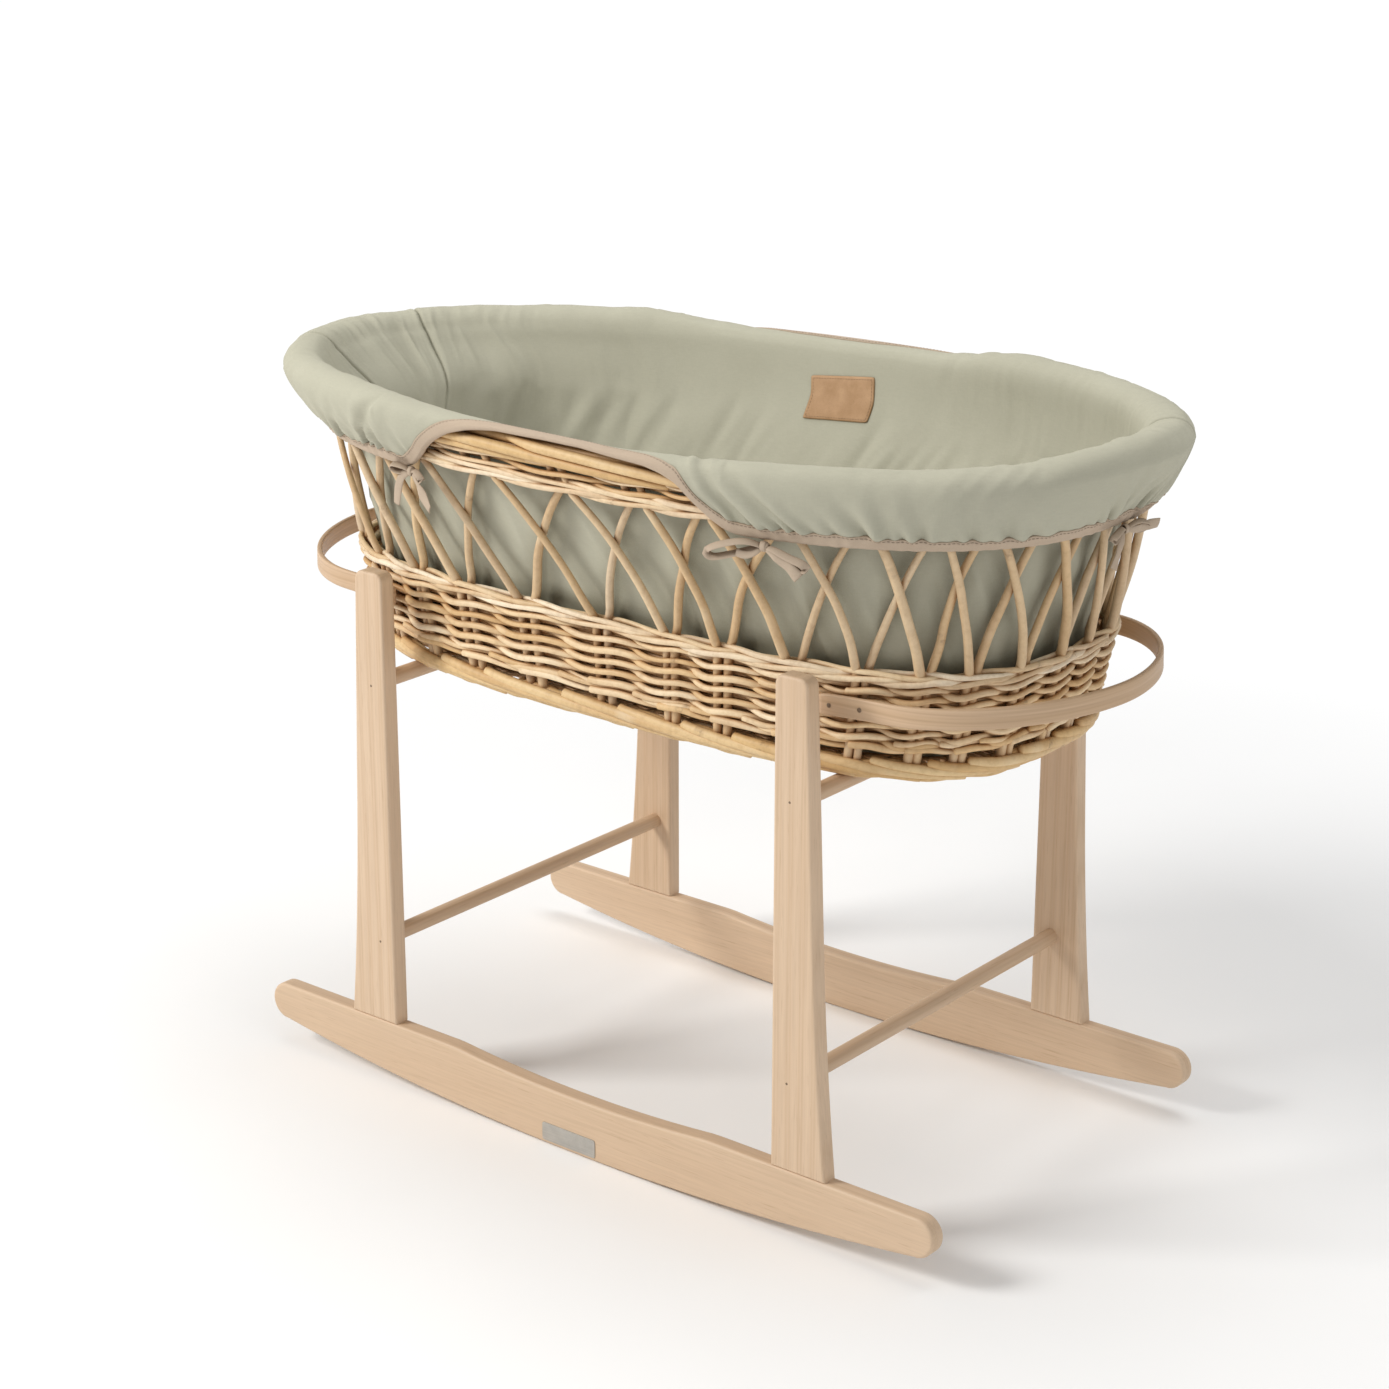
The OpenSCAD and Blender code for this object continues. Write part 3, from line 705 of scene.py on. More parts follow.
def cloth_material(name, light, dark, pitch, fuzz, weave=0.5, twill=False, crease=0.0):
    """Woven cotton: threads at a pitch in metres, with a soft sheen."""
    mat = Surface(name)
    place = mat.coords()
    x, y, z = mat.split(place)
    facing = mat.split(mat.node("NewGeometry").outputs["Normal"])
    # threads run up the wall and along it; on level cloth they run along x and y
    end_on = mat.math("GREATER_THAN", mat.math("ABSOLUTE", facing[0]),
                      mat.math("ABSOLUTE", facing[1]))
    level = mat.math("GREATER_THAN", mat.math("ABSOLUTE", facing[2]), 0.75)
    across = mat.choose(level, x, mat.choose(end_on, y, x))
    upward = mat.choose(level, y, z)
    waves = TAU / pitch
    if twill:
        thread = mat.math("SINE", mat.times(mat.plus(across, upward), waves))
    else:
        thread = mat.times(mat.math("SINE", mat.times(across, waves)),
                           mat.math("SINE", mat.times(upward, waves)))
    # uneven threads both ways
    slubs = [mat.noise(place, scale=scale, detail=3.0, rough=0.6)
             for scale in ((140, 140, 900), (900, 900, 140))]
    patch = mat.noise(place, scale=9, rough=0.6)
    base = mat.mix(light, toward(light, dark, 0.25), amount=mat.remap(patch, between=(0.3, 0.7)))
    gaps = mat.remap(thread, between=(-1, 1), to=(1.0, 0.0))
    base = mat.mix(base, dark, amount=mat.times(gaps, 0.30 * weave))
    for slub, amount in zip(slubs, (0.22, 0.18)):
        tint = mat.ramp(slub, (0.3, (0.86, 0.86, 0.85)), (0.65, 1.05))
        base = mat.shade(base, tint, amount=amount)
    # painted shade: ambient occlusion darkens the colour in folds, creases and corners
    hidden = mat.remap(mat.occlusion(0.02), between=(0.35, 0.93), to=(0.75, 0.0))
    base = mat.shade(base, scaled(dark, 0.75), amount=hidden)
    uneven = mat.plus(mat.times(slubs[0], 0.5), mat.times(slubs[1], 0.5))
    height = mat.plus(mat.times(thread, 0.35 * weave), uneven)
    normal = mat.bump(height, strength=0.25, distance=0.0004)
    if crease:
        creases = mat.noise(place, scale=(26, 26, 12), detail=5.0, rough=0.62, distort=0.6)
        normal = mat.bump(creases, strength=crease, distance=0.006, normal=normal)
    return mat.finish({
        "Base Color": base, "Roughness": 0.86, "Sheen Weight": fuzz, "Sheen Roughness": 0.45,
        "Sheen Tint": tuple(min(1, c * 1.3) for c in light), "Specular IOR Level": 0.2,
        "Normal": normal})


def leather_material(name):
    mat = Surface(name)
    place = mat.coords()
    cells = mat.node("TexVoronoi", {"Vector": place, "Scale": 900}, feature="DISTANCE_TO_EDGE")
    edge = cells.outputs["Distance"]
    patch = mat.noise(place, scale=60)
    base = mat.mix((0.52, 0.315, 0.165), (0.40, 0.225, 0.10),
                   amount=mat.remap(patch, between=(0.3, 0.7)))
    grain_tint = mat.ramp(edge, (0.0, (0.6, 0.55, 0.5)), (0.12, 1.0))
    height = mat.ramp(edge, (0.0, 0.0), (0.15, 1.0))
    return mat.finish({
        "Base Color": mat.shade(base, grain_tint, amount=0.4), "Roughness": 0.62,
        "Normal": mat.bump(height, strength=0.3, distance=0.0003)})


def metal_material(name, colour, rough, axis, scale):
    """Metal brushed along one axis."""
    mat = Surface(name)
    place = mat.coords()
    brushed = mat.noise(place, scale=axis_scale(axis, along=scale / 60, across=scale),
                        detail=3.0, rough=0.6)
    spots = mat.noise(place, scale=90)
    base = mat.mix(colour, scaled(colour, 0.72),
                   amount=mat.remap(spots, between=(0.35, 0.7), to=(0.0, 0.5)))
    base = mat.shade(base, mat.ramp(brushed, (0.3, 0.75), (0.7, 1.1)), amount=0.5)
    return mat.finish({
        "Base Color": base, "Metallic": 0.85,
        "Roughness": mat.plus(mat.times(brushed, 0.2), rough),
        "Normal": mat.bump(brushed, strength=0.15, distance=0.0003)})


PINE_LIGHT, PINE_DARK = (0.70, 0.53, 0.375), (0.545, 0.37, 0.225)
# tones across the rods of each willow material: (rid, colour)
WEAVE_TONES = [(0.0, (0.64, 0.42, 0.20)), (0.25, (0.79, 0.565, 0.305)),
               (0.5, (0.85, 0.655, 0.405)), (0.75, (0.90, 0.745, 0.525)),
               (1.0, (0.745, 0.515, 0.255))]
WALE_TONES = [(0.0, (0.78, 0.60, 0.37)), (0.4, (0.87, 0.72, 0.51)), (0.8, (0.90, 0.78, 0.60)),
              (1.0, (0.80, 0.61, 0.38))]
STAKE_TONES = [(0.0, (0.73, 0.515, 0.28)), (0.4, (0.80, 0.605, 0.375)),
               (0.7, (0.71, 0.56, 0.385)), (1.0, (0.82, 0.585, 0.31))]
BORDER_TONES = [(0.0, (0.72, 0.50, 0.235)), (0.5, (0.82, 0.62, 0.345)),
                (1.0, (0.76, 0.56, 0.30))]

PINE_ROCKER = wood_material("pine_rocker", axis=0, light=PINE_LIGHT, dark=PINE_DARK, seed=1.0)
PINE_LEG = wood_material("pine_leg", axis=2, light=PINE_LIGHT, dark=PINE_DARK, seed=2.0)
PINE_BAR = wood_material("pine_bar", axis=1, light=(0.66, 0.49, 0.34), dark=PINE_DARK, seed=3.0)
BENT_STRIP = strip_material("bent_strip")
WEAVE_WILLOW = willow_material("willow_weave", WEAVE_TONES)
WALE_WILLOW = willow_material("willow_wale", WALE_TONES)
STAKE_WILLOW = willow_material("willow_stake", STAKE_TONES, grey=0.26)
BORDER_WILLOW = willow_material("willow_border", BORDER_TONES)
SAGE = cloth_material("sage_cotton", light=(0.462, 0.447, 0.352), dark=(0.345, 0.332, 0.250),
                      pitch=0.0007, fuzz=0.25, crease=0.10)
TAPE = cloth_material("taupe_tape", light=(0.52, 0.415, 0.315), dark=(0.37, 0.28, 0.20),
                      pitch=0.0010, fuzz=0.2, weave=0.9, twill=True)
MATTRESS_COTTON = cloth_material("mattress_cotton", light=(0.69, 0.68, 0.64),
                                 dark=(0.57, 0.555, 0.51), pitch=0.0008, fuzz=0.3)
LEATHER = leather_material("label_leather")
PLATE_METAL = metal_material("plate_metal", (0.56, 0.54, 0.50), rough=0.34, axis=0, scale=700)
NAIL_STEEL = metal_material("nail_steel", (0.27, 0.20, 0.14), rough=0.5, axis=1, scale=300)
BEECH = wood_material("beech_peg", axis=2, light=(0.62, 0.44, 0.28), dark=(0.50, 0.33, 0.19),
                      seed=5.0)

# --------------------------------------------------------------------------
# stand: two rockers, four uprights, four crossbars
# --------------------------------------------------------------------------
ROCKER_HALF, ROCKER_TOP, SOLE_RADIUS = 410.0, 65.8, 2800.0
DIP_DEPTH, DIP_HALF = 7.8, 158.0            # the shallow dip in a rocker's top edge
BOARD_INNER, BOARD_OUTER = 204, 222         # distance of the boards' faces from y = 0
LEG_TOP, LEG_INNER, LEG_CORNER = 529.0, 233.5, 9.0
BAR_X, BAR_HALF, BAR_RADIUS = 254, 215.8, 8.0
BRAD_X = 251
BAR_HEIGHTS = ((416, "upper"), (151, "lower"))


def rocker_profile():
    """(x, z) outline: curved sole, round ends, top edge with the dip."""
    end_x = ROCKER_HALF - (ROCKER_TOP - (ROCKER_HALF - 19) ** 2 / (2 * SOLE_RADIUS)) / 2
    low = end_x * end_x / (2 * SOLE_RADIUS)
    radius = (ROCKER_TOP - low) / 2
    points = [(x, SOLE_RADIUS - math.sqrt(SOLE_RADIUS * SOLE_RADIUS - x * x))
              for x in np.linspace(-end_x, end_x, 61)]
    points += arc(end_x, low + radius, radius, np.arange(-80, 91, 10))
    dip_radius = (DIP_HALF ** 2 + DIP_DEPTH ** 2) / (2 * DIP_DEPTH)
    for x in np.linspace(end_x - 12, -(end_x - 12), 75):
        z = ROCKER_TOP
        if abs(x) < DIP_HALF:
            z = ROCKER_TOP - DIP_DEPTH + dip_radius - math.sqrt(dip_radius * dip_radius - x * x)
        points.append((x, z))
    return points + arc(-end_x, low + radius, radius, np.arange(90, 261, 10))


def leg_edge(z):
    """x of the right leg's outer edge, which flares towards the rocker."""
    return 268 + 0.04 * (LEG_TOP - z) + (0.000147 * (283 - z) ** 2 if z < 283 else 0)


def leg_profile():
    """(x, z) outline of a right-hand leg."""
    corner_z = LEG_TOP - LEG_CORNER
    outer = leg_edge(corner_z) - LEG_CORNER
    inner = LEG_INNER + LEG_CORNER
    points = [(LEG_INNER, ROCKER_TOP)]
    points += [(leg_edge(z), z) for z in np.linspace(ROCKER_TOP, corner_z, 26)]
    points += arc(outer, corner_z, LEG_CORNER, np.arange(12, 90, 13))
    points += [(x, LEG_TOP) for x in np.linspace(outer, inner, 4)]
    points += arc(inner, corner_z, LEG_CORNER, np.arange(103, 180, 13))
    return points + [(LEG_INNER, z) for z in np.linspace(corner_z, ROCKER_TOP, 16)[:-1]]


def prism(name, outline, y_front, y_back, bevel, segments, sharp, front_only=False):
    """An (x, z) outline given thickness along Y, with bevelled rims.

    sharp is the angle in degrees above which an edge is shaded sharp.
    """
    bm = bmesh.new()
    front, back = [[bm.verts.new((x * MM, y * MM, z * MM)) for x, z in outline]
                   for y in (y_front, y_back)]
    bm.faces.new(front)
    bm.faces.new(back[::-1])
    for i in range(len(outline)):
        j = (i + 1) % len(outline)
        bm.faces.new((front[i], back[i], back[j], front[j]))
    bmesh.ops.recalc_face_normals(bm, faces=bm.faces)
    rim = [e for e in bm.edges if abs(e.verts[0].co.y - e.verts[1].co.y) < 1e-6
           and (not front_only or abs(e.verts[0].co.y - y_front * MM) < 1e-6)]
    bmesh.ops.bevel(bm, geom=rim, offset=bevel * MM, segments=segments, profile=0.6,
                    affect="EDGES", clamp_overlap=not front_only)
    mesh = bpy.data.meshes.new(name)
    bm.to_mesh(mesh)
    bm.free()
    for polygon in mesh.polygons:
        polygon.use_smooth = True
    mesh.set_sharp_from_angle(angle=math.radians(sharp))
    return link(bpy.data.objects.new(name, mesh))


def board(name, outline, y_side, bevel, material, node):
    """A board of the front (y_side -1) or back (1) frame."""
    def apart(a, b):
        return math.hypot(a[0] - b[0], a[1] - b[1])

    # points closer than 0.4 are merged
    clean = [outline[0]]
    for point in outline[1:]:
        if apart(point, clean[-1]) > 0.4:
            clean.append(point)
    if apart(clean[0], clean[-1]) < 0.4:
        clean.pop()
    y_front, y_back = sorted((y_side * BOARD_INNER, y_side * BOARD_OUTER))
    ob = prism(name, clean, y_front, y_back, bevel=bevel, segments=4, sharp=38)
    weighted = ob.modifiers.new("wn", "WEIGHTED_NORMAL")
    weighted.keep_sharp = True
    dress(ob, "stand", material, [node], "pine")


def crossbar(name, x, z, node):
    stations = [(-BAR_HALF, 7.2), (-BAR_HALF + 0.8, BAR_RADIUS)]
    stations += [(y, BAR_RADIUS) for y in np.linspace(-BAR_HALF + 2, BAR_HALF - 2, 24)]
    stations += [(BAR_HALF - 0.8, BAR_RADIUS), (BAR_HALF, 7.2)]
    along, radius = np.array(stations).T
    axis = np.array([x, 0.0, z]) + along[:, None] * np.array([0.0, 1.0, 0.0])
    angle = np.arange(40) / 40 * TAU
    circle = np.stack([np.sin(angle), np.zeros(40), np.cos(angle)], 1)
    bar = Parts()
    bar.add(axis[:, None, :] + radius[:, None, None] * circle[None], np.zeros(len(axis)),
            (axis[0], axis[-1]))
    bar.build(name, "stand", PINE_BAR, [node], "pine")


def crossbar_brads():
    """A small nail through the boards at each end of every crossbar."""
    brads = Parts()
    for y_side in (-1, 1):
        for x_side in (-1, 1):
            for z, _ in BAR_HEIGHTS:
                def points(offsets):
                    return [(x_side * BRAD_X, y_side * (BOARD_OUTER + d), z) for d in offsets]

                brads.tube(points((-20, -12, -1.2, -0.2)), [0.3, 0.8, 0.8, 0.8], (1, 0, 0),
                           sides=12)
                brads.tube(points((-0.35, 0.05, 0.12)), [1.25, 1.2, 0.95], (1, 0, 0),
                           sides=16, rounded=False)
    brads.build("brads", "stand", NAIL_STEEL, ["crossbar_brads"], "nail_steel")


def rocker_plate():
    """The small metal plate on the front rocker."""
    centre_x, centre_z = -7, 13.2
    outline = rounded_rectangle(33.0, 9.25, 2.5, range(0, 91, 15))
    ob = prism("metal_plate", [(centre_x + x, centre_z + z) for x, z in outline],
               y_front=-222.8, y_back=-221.95, bevel=0.3, segments=2, sharp=40, front_only=True)
    dress(ob, "stand", PLATE_METAL, ["rocker_plate"], "plate_metal")


board("rocker_front", rocker_profile(), -1, 3.6, PINE_ROCKER, "front_rocker")
board("rocker_back", rocker_profile(), 1, 3.6, PINE_ROCKER, "back_rocker")
for x_side, x_name in SIDES_OF_X:
    for y_side, y_name in ((-1, "front"), (1, "back")):
        outline = [(x_side * x, z) for x, z in leg_profile()][::x_side]
        board(f"upright_{y_name}_{x_name}", outline, y_side, 3.4, PINE_LEG,
              f"leg_{y_name}_{x_name}")
for x_side, x_name in SIDES_OF_X:
    for z, z_name in BAR_HEIGHTS:
        crossbar(f"bar_{z_name}_{x_name}", x_side * BAR_X, z, f"{z_name}_crossbar_{x_name}")

# the hidden pegs keep their CAD shape
pegs = frame["nodes"]["leg_pegs"].data
pegs.materials.clear()
pegs.materials.append(BEECH)
crossbar_brads()
rocker_plate()

# --------------------------------------------------------------------------
# willow
# --------------------------------------------------------------------------
PAIRS = 30              # pairs of stakes round the basket
PAIR_PHASE = 0.667
MIDDLE = -7.3           # out of the wall's middle, where the stakes stand
rng = np.random.default_rng(11)


def place_pairs():
    """Turn of every stake pair: closer together towards the ends."""
    even = (np.arange(PAIRS) + PAIR_PHASE) / PAIRS
    turns = (even - 0.2 / TAU * np.sin(TAU * even)
             - 0.1 / (4 * math.pi) * np.sin(4 * math.pi * even))
    turns[1:17] += rng.normal(0, 0.0009, 16)
    turns[16] += 0.003
    turns[17:] = (0.6038, 0.6359, 0.6681, 0.7095, 0.7551, 0.7934, 0.8219, 0.8581, 0.8903,
                  0.9187, 0.9395, 0.9657, 0.9946)
    return np.concatenate([turns - 1, turns, turns + 1])


PAIR_TURNS = place_pairs()
PAIR_NUMBERS = np.arange(-PAIRS, 2 * PAIRS)


def pair_at(turn):
    """Pair number, with fraction, at a turn."""
    turn = np.asarray(turn, float)
    whole = np.floor(turn)
    return np.interp(turn - whole, PAIR_TURNS, PAIR_NUMBERS) + whole * PAIRS


def turn_at(pair):
    pair = np.asarray(pair, float)
    whole = np.floor(pair / PAIRS)
    return np.interp(pair - whole * PAIRS, PAIR_NUMBERS, PAIR_TURNS) + whole


def from_pair(turn):
    """Signed distance to the nearest stake pair, in spacings, -0.5..0.5."""
    return (pair_at(turn) + 0.5) % 1.0 - 0.5


def wobble(count, size):
    """A smooth random line of count samples."""
    x = np.linspace(0, 1, count)
    y = np.zeros(count)
    for i in range(1, 6):
        y += rng.normal(0, 1) / i * np.sin(TAU * (i * x + rng.random()))
    return size * y / 1.6


def vary(size):
    """A random factor near 1."""
    return 1 + size * rng.normal()


def rod(parts, turn, z, out, radius, sides=8):
    """A rod on the wall, with a random tone."""
    parts.tube(wall_at(turn, z, out), radius, wall_out(turn, z), sides=sides,
               rid=rng.random(), start=rng.random() * 3000)


def hoop_rod(parts, turn, z, out, radius, sides, rid):
    """A rod that runs all the way round the wall."""
    parts.loop(wall_at(turn, z, out), radius, wall_out(turn, z), sides=sides, rid=rid)


def stakes(side, lean, out):
    """One rod of each pair: from the foot, across the open lattice, into the upper weave."""
    parts = Parts()
    z = np.concatenate([np.linspace(432, 520, 14), np.linspace(526, 652, 30),
                        np.linspace(656, 690, 8)])
    climb = np.clip((z - 524) / 128.0, 0, 1.3)
    lattice = smooth01(np.clip((z - 515) / 22, 0, 1) * np.clip((672 - z) / 18, 0, 1))
    for k in range(PAIRS):
        bend = 0.42 + 0.08 * rng.normal()
        ease = np.where(climb < 1, (1 - bend) * climb + bend * climb ** 2,
                        1 + (climb - 1) * 0.35)
        foot = 0.08 + 0.012 * rng.normal()
        top = 0.85 + 0.035 * rng.normal()
        turn = turn_at(k + lean * (foot + (top - foot) * ease))
        place = MIDDLE + (out - MIDDLE) * lattice + wobble(len(z), 0.35)
        turn = turn + wobble(len(z), 0.0006) * np.clip((z - 520) / 40, 0, 1)
        radius = np.interp(z, [432, 526, 652, 690], [4.3, 4.15, 3.55, 3.2])
        radius = radius * vary(0.07) * (1 + wobble(len(z), 0.03))
        rod(parts, turn, z, place, radius, sides=10)
    parts.build(f"willow_stakes_{side}", "basket", STAKE_WILLOW, [f"stakes_leaning_{side}"],
                "willow")


def weave_row(parts, height, parity, radius, swing, saw, rough, lengths=(560, 760), middle=MIDDLE,
              sides=8):
    """One row of single rods, in front of one pair and behind the next.

    swing is the in-and-out reach, saw the rise and fall at each pair, rough the
    random rise and fall. Each rod overlaps the start of the next.
    """
    length = length_at(height)
    here = rng.random() * length
    end = here + length
    while here < end - 5:
        piece = min(rng.uniform(*lengths), end - here)
        if end - here - piece < 200:
            piece = end - here
        overlap = 46.0
        count = int((piece + overlap) / 4.2) + 2
        steps = np.linspace(here, here + piece + overlap, count)
        turn = steps / length
        wave = np.cos(math.pi * (pair_at(turn) + parity))
        out = middle + swing * np.sign(wave) * np.abs(wave) ** 0.72
        x = (steps - steps[0]) / (steps[-1] - steps[0])
        z = height + saw * np.sin(TAU * from_pair(turn)) + wobble(count, rough)
        tapered = radius * (1.14 - 0.38 * x) * vary(0.05) * (1 + wobble(count, 0.025))
        # the new butt starts beside the old tip
        butt = np.clip(1 - x * 14, 0, 1)
        tip = np.clip((x - 0.93) * 14, 0, 1)
        rod(parts, turn, z + 1.3 * butt - 1.2 * tip, out + 0.8 * butt - 1.0 * tip, tapered,
            sides=sides)
        here += piece


def wale(parts, height, radius, strands, swing, rise, direction=1):
    """Each rod passes in front of two pairs and behind one, in turn."""
    turn = np.linspace(0, 1, int(length_at(height) / 4.2), endpoint=False)
    for k in range(strands):
        angle = TAU * (pair_at(turn) + k * 3 / strands) / 3
        out = MIDDLE + swing * np.clip(np.cos(angle) * 1.25 + 0.35, -1, 1)
        z = height + rise * np.sin(angle) * direction + 0.6 * np.sin(TAU * from_pair(turn))
        z = z + 0.09 * np.sin(TAU * (turn * 5 + rng.random()))
        varied = radius * (1 + 0.10 * np.sin(TAU * (turn * 3 + rng.random()))) * vary(0.03)
        hoop_rod(parts, turn, z, out, varied, sides=8, rid=rng.random())


def lower_weave():
    parts = Parts()
    rows = np.arange(458.5, 514.5, 5.35)
    for i, z in enumerate(rows):
        low = np.clip((470 - z) / 15, 0, 1)
        weave_row(parts, z, i % 2, 3.05 + 0.35 * low + 0.14 * rng.normal(), swing=5.8,
                  saw=1.9 * (1 - 0.3 * low), rough=0.5 + 0.6 * low)
    # thinner rows on the inner side
    for i, z in enumerate(rows[:-1] + 2.7):
        weave_row(parts, z, i % 2, 2.3 + 0.1 * rng.normal(), swing=1.2, saw=1.6, rough=0.5,
                  middle=-14.6, sides=6)
    # short thick rods that start at each pair, the foot of the French rand
    length = length_at(455)
    for k in range(PAIRS):
        span = rng.uniform(2.0, 2.7)
        count = int(span * length / PAIRS / 4.0)
        t = np.linspace(0, span, count)
        turn = turn_at(k + t - 0.10 + 0.05 * rng.normal())
        z = 456.5 - 2.6 * t + 1.2 * np.sin(TAU * from_pair(turn)) + wobble(count, 0.5)
        out = MIDDLE + 7.4 * np.cos(math.pi * np.clip(t, 0, 3) / 2.1) - 0.4
        radius = np.interp(t, [0, 0.4, span], [3.5, 3.4, 1.9]) * vary(0.05)
        rod(parts, turn, z, out, radius, sides=10)
        # and their thinner companions just above
        turn = turn_at(pair_at(turn) + 0.55 + 0.1 * rng.normal())
        z = 462.0 - 2.0 * t + 1.2 * np.sin(TAU * from_pair(turn)) + wobble(count, 0.5)
        rod(parts, turn, z, MIDDLE + 6.6 * np.cos(math.pi * t / 1.9), radius * 0.8)
    parts.build("willow_lower_weave", "basket", WEAVE_WILLOW, ["lower_weave"], "willow")


def top_wale():
    """The wale that closes the lower weave."""
    parts = Parts()
    wale(parts, 519.2, radius=2.9, strands=3, swing=5.9, rise=2.0)
    wale(parts, 524.4, radius=2.7, strands=2, swing=5.0, rise=1.5, direction=-1)
    parts.build("willow_top_wale", "basket", WALE_WILLOW, (), "willow")


def foot_border():
    """Thick rods laid like shingles round the foot, over a hidden core."""
    parts = Parts()
    length = length_at(436)
    for k in range(PAIRS):
        span = 3.05 + 0.12 * rng.normal()
        count = int(span * length / PAIRS / 4.5)
        t = np.linspace(0, span, count)
        turn = turn_at(k + t + 0.28 + 0.05 * rng.normal())
        x = t / span
        z = 444.0 - 14.6 * np.clip(x, 0, 1) ** 0.9 + 0.8 * wobble(count, 0.6)
        out = (-2.6 + 1.4 * np.sin(math.pi * np.clip(x * 1.2, 0, 1))
               - 5.5 * np.clip(x - 0.45, 0, 1) ** 1.2 - 12.25 * np.clip(0.10 - x, 0, 1))
        radius = np.interp(x, [0, 0.12, 0.6, 1], [4.5, 4.9, 4.6, 3.2]) * vary(0.06)
        rod(parts, turn, np.maximum(z, 424.35 + radius), out, radius, sides=12)
    turn = np.linspace(0, 1, 420, endpoint=False)
    for height, out, radius in ((431.0, -8.0, 4.6), (439.5, -8.6, 4.4)):
        z = height + 1.4 * np.sin(TAU * turn * PAIRS)
        hoop_rod(parts, turn, z, out + 1.2 * np.cos(TAU * turn * PAIRS), radius, sides=10,
                 rid=0.1)
    # the foot's lowest rods lie on the crossbars
    parts.verts = [v - np.array([0.0, 0.0, 1.9]) for v in parts.verts]
    parts.build("willow_foot_border", "basket", BORDER_WILLOW, ["foot_border"], "willow")


def upper_weave():
    parts = Parts()
    for i, (z, radius) in enumerate(((666.0, 2.6), (670.4, 2.5), (674.8, 2.2), (679.0, 2.0))):
        weave_row(parts, z, i % 2, radius + 0.15 * rng.normal(), swing=5.2, saw=1.2, rough=1.0,
                  lengths=(300, 520))
    parts.build("willow_upper_weave", "basket", WEAVE_WILLOW, ["upper_weave"], "willow")
    parts = Parts()
    wale(parts, 655.4, radius=2.9, strands=3, swing=5.4, rise=1.9)
    wale(parts, 661.0, radius=2.6, strands=3, swing=5.2, rise=1.7, direction=-1)
    parts.build("willow_upper_wale", "basket", WALE_WILLOW, (), "willow")


def rim_border():
    """Thick rods in two courses, each running down as it goes round."""
    parts = Parts()
    for k in range(0, PAIRS, 2):
        span = 4.3 + 0.12 * rng.normal()
        count = int(span * float(WALL_LENGTHS[-1]) / PAIRS / 4.5)
        t = np.linspace(0, span, count)
        x = t / span
        turn = turn_at(k + 0.6 + t + 0.1 * rng.normal())
        z = 695.2 - 18.5 * x + wobble(count, 0.5)
        out = (0.2 + 0.9 * np.sin(math.pi * x) - 8.0 * np.clip((0.09 - x) / 0.09, 0, 1) ** 1.4
               - 7.0 * np.clip((x - 0.72) / 0.28, 0, 1) ** 1.4)
        radius = np.interp(x, [0, 0.08, 0.5, 0.85, 1], [3.8, 5.0, 4.9, 4.2, 3.0])
        radius = radius * vary(0.04) * (1 + wobble(count, 0.02))
        rod(parts, turn, z, out, radius, sides=12)
        # a slimmer rod shows between the two courses
        z = 689.5 - 8.0 * x + wobble(count, 0.5)
        rod(parts, turn_at(k + 1.1 + 2.2 * x), z, -3.5 + 0.8 * np.sin(6 * x), 2.6)
    # two short tails of rod turned round the rim, front left and back right
    t = np.linspace(0, 1, 22)
    for pair in (19.35, 4.2):
        turn = turn_at(pair + 0.16 * np.sin(TAU * t) + 0.10 * t)
        z = 690.0 - 6.3 * np.cos(TAU * t)
        parts.tube(wall_at(turn, z, 4.4 + 2.6 * np.sin(math.pi * t)),
                   np.interp(t, [0, 0.5, 1], [1.9, 1.7, 1.1]), wall_out(turn, z), rid=0.6)
    # inner core
    turn = np.linspace(0, 1, 480, endpoint=False)
    for height, out, radius in ((694.5, -8.8, 4.8), (686.5, -9.2, 4.6)):
        z = height + 0.8 * np.sin(TAU * (turn * 7 + rng.random()))
        hoop_rod(parts, turn, z, out + 0.8 * np.cos(TAU * turn * 9), radius, sides=12,
                 rid=rng.random())
    parts.build("willow_rim_border", "basket", BORDER_WILLOW, ["rim_border"], "willow")


def woven_floor():
    half_x, half_y, power, z = 357.0, 167.0, 3.1, 436.0
    stick_pitch = 44.0

    def reach(half, fraction):
        return half * (1 - min(1, abs(fraction)) ** power) ** (1 / power)

    parts = Parts()
    for x in np.arange(-330, 331, stick_pitch):         # cross sticks
        half = reach(half_y, x / half_x)
        y = np.linspace(-half, half, int(2 * half / 8) + 2)
        path = np.stack([np.full(len(y), x), y, np.full(len(y), z)], 1)
        parts.tube(path, 2.6, (0, 0, 1), rid=rng.random())
    for i, y in enumerate(np.arange(-162, 163, 5.0)):   # weavers along the length
        half = reach(half_x, y / half_y)
        x = np.linspace(-half, half, int(2 * half / 6) + 2)
        wave = np.cos(math.pi * ((x + 330) / stick_pitch + i % 2))
        path = np.stack([x, y + wobble(len(x), 0.4),
                         z + 2.3 * np.sign(wave) * np.abs(wave) ** 0.8], 1)
        parts.tube(path, 2.3 * vary(0.06), (0, 0, 1), rid=rng.random(),
                   start=rng.random() * 3000)
    parts.build("willow_floor", "basket", WEAVE_WILLOW, ["base_weave"], "willow")


stakes("left", lean=-1, out=-4.6)
stakes("right", lean=1, out=-12.1)
lower_weave()
top_wale()
foot_border()
upper_weave()
rim_border()
woven_floor()

# --------------------------------------------------------------------------
# carrying hoops at both ends, and their nails
# --------------------------------------------------------------------------
HOOP_BEND_X, HOOP_END_X, HOOP_HALF_Y = 324.0, 455.0, 172.3
HOOP_THICK, HOOP_HEIGHT, HOOP_Z = 5.0, 19.0, 494.0
HOOP_SHIFT = 6.0                    # both hoops sit this far towards -X
HOOP_SLOPE, LEVEL_X = 0.04, 265.0   # the hoop is at HOOP_Z at LEVEL_X and rises outwards


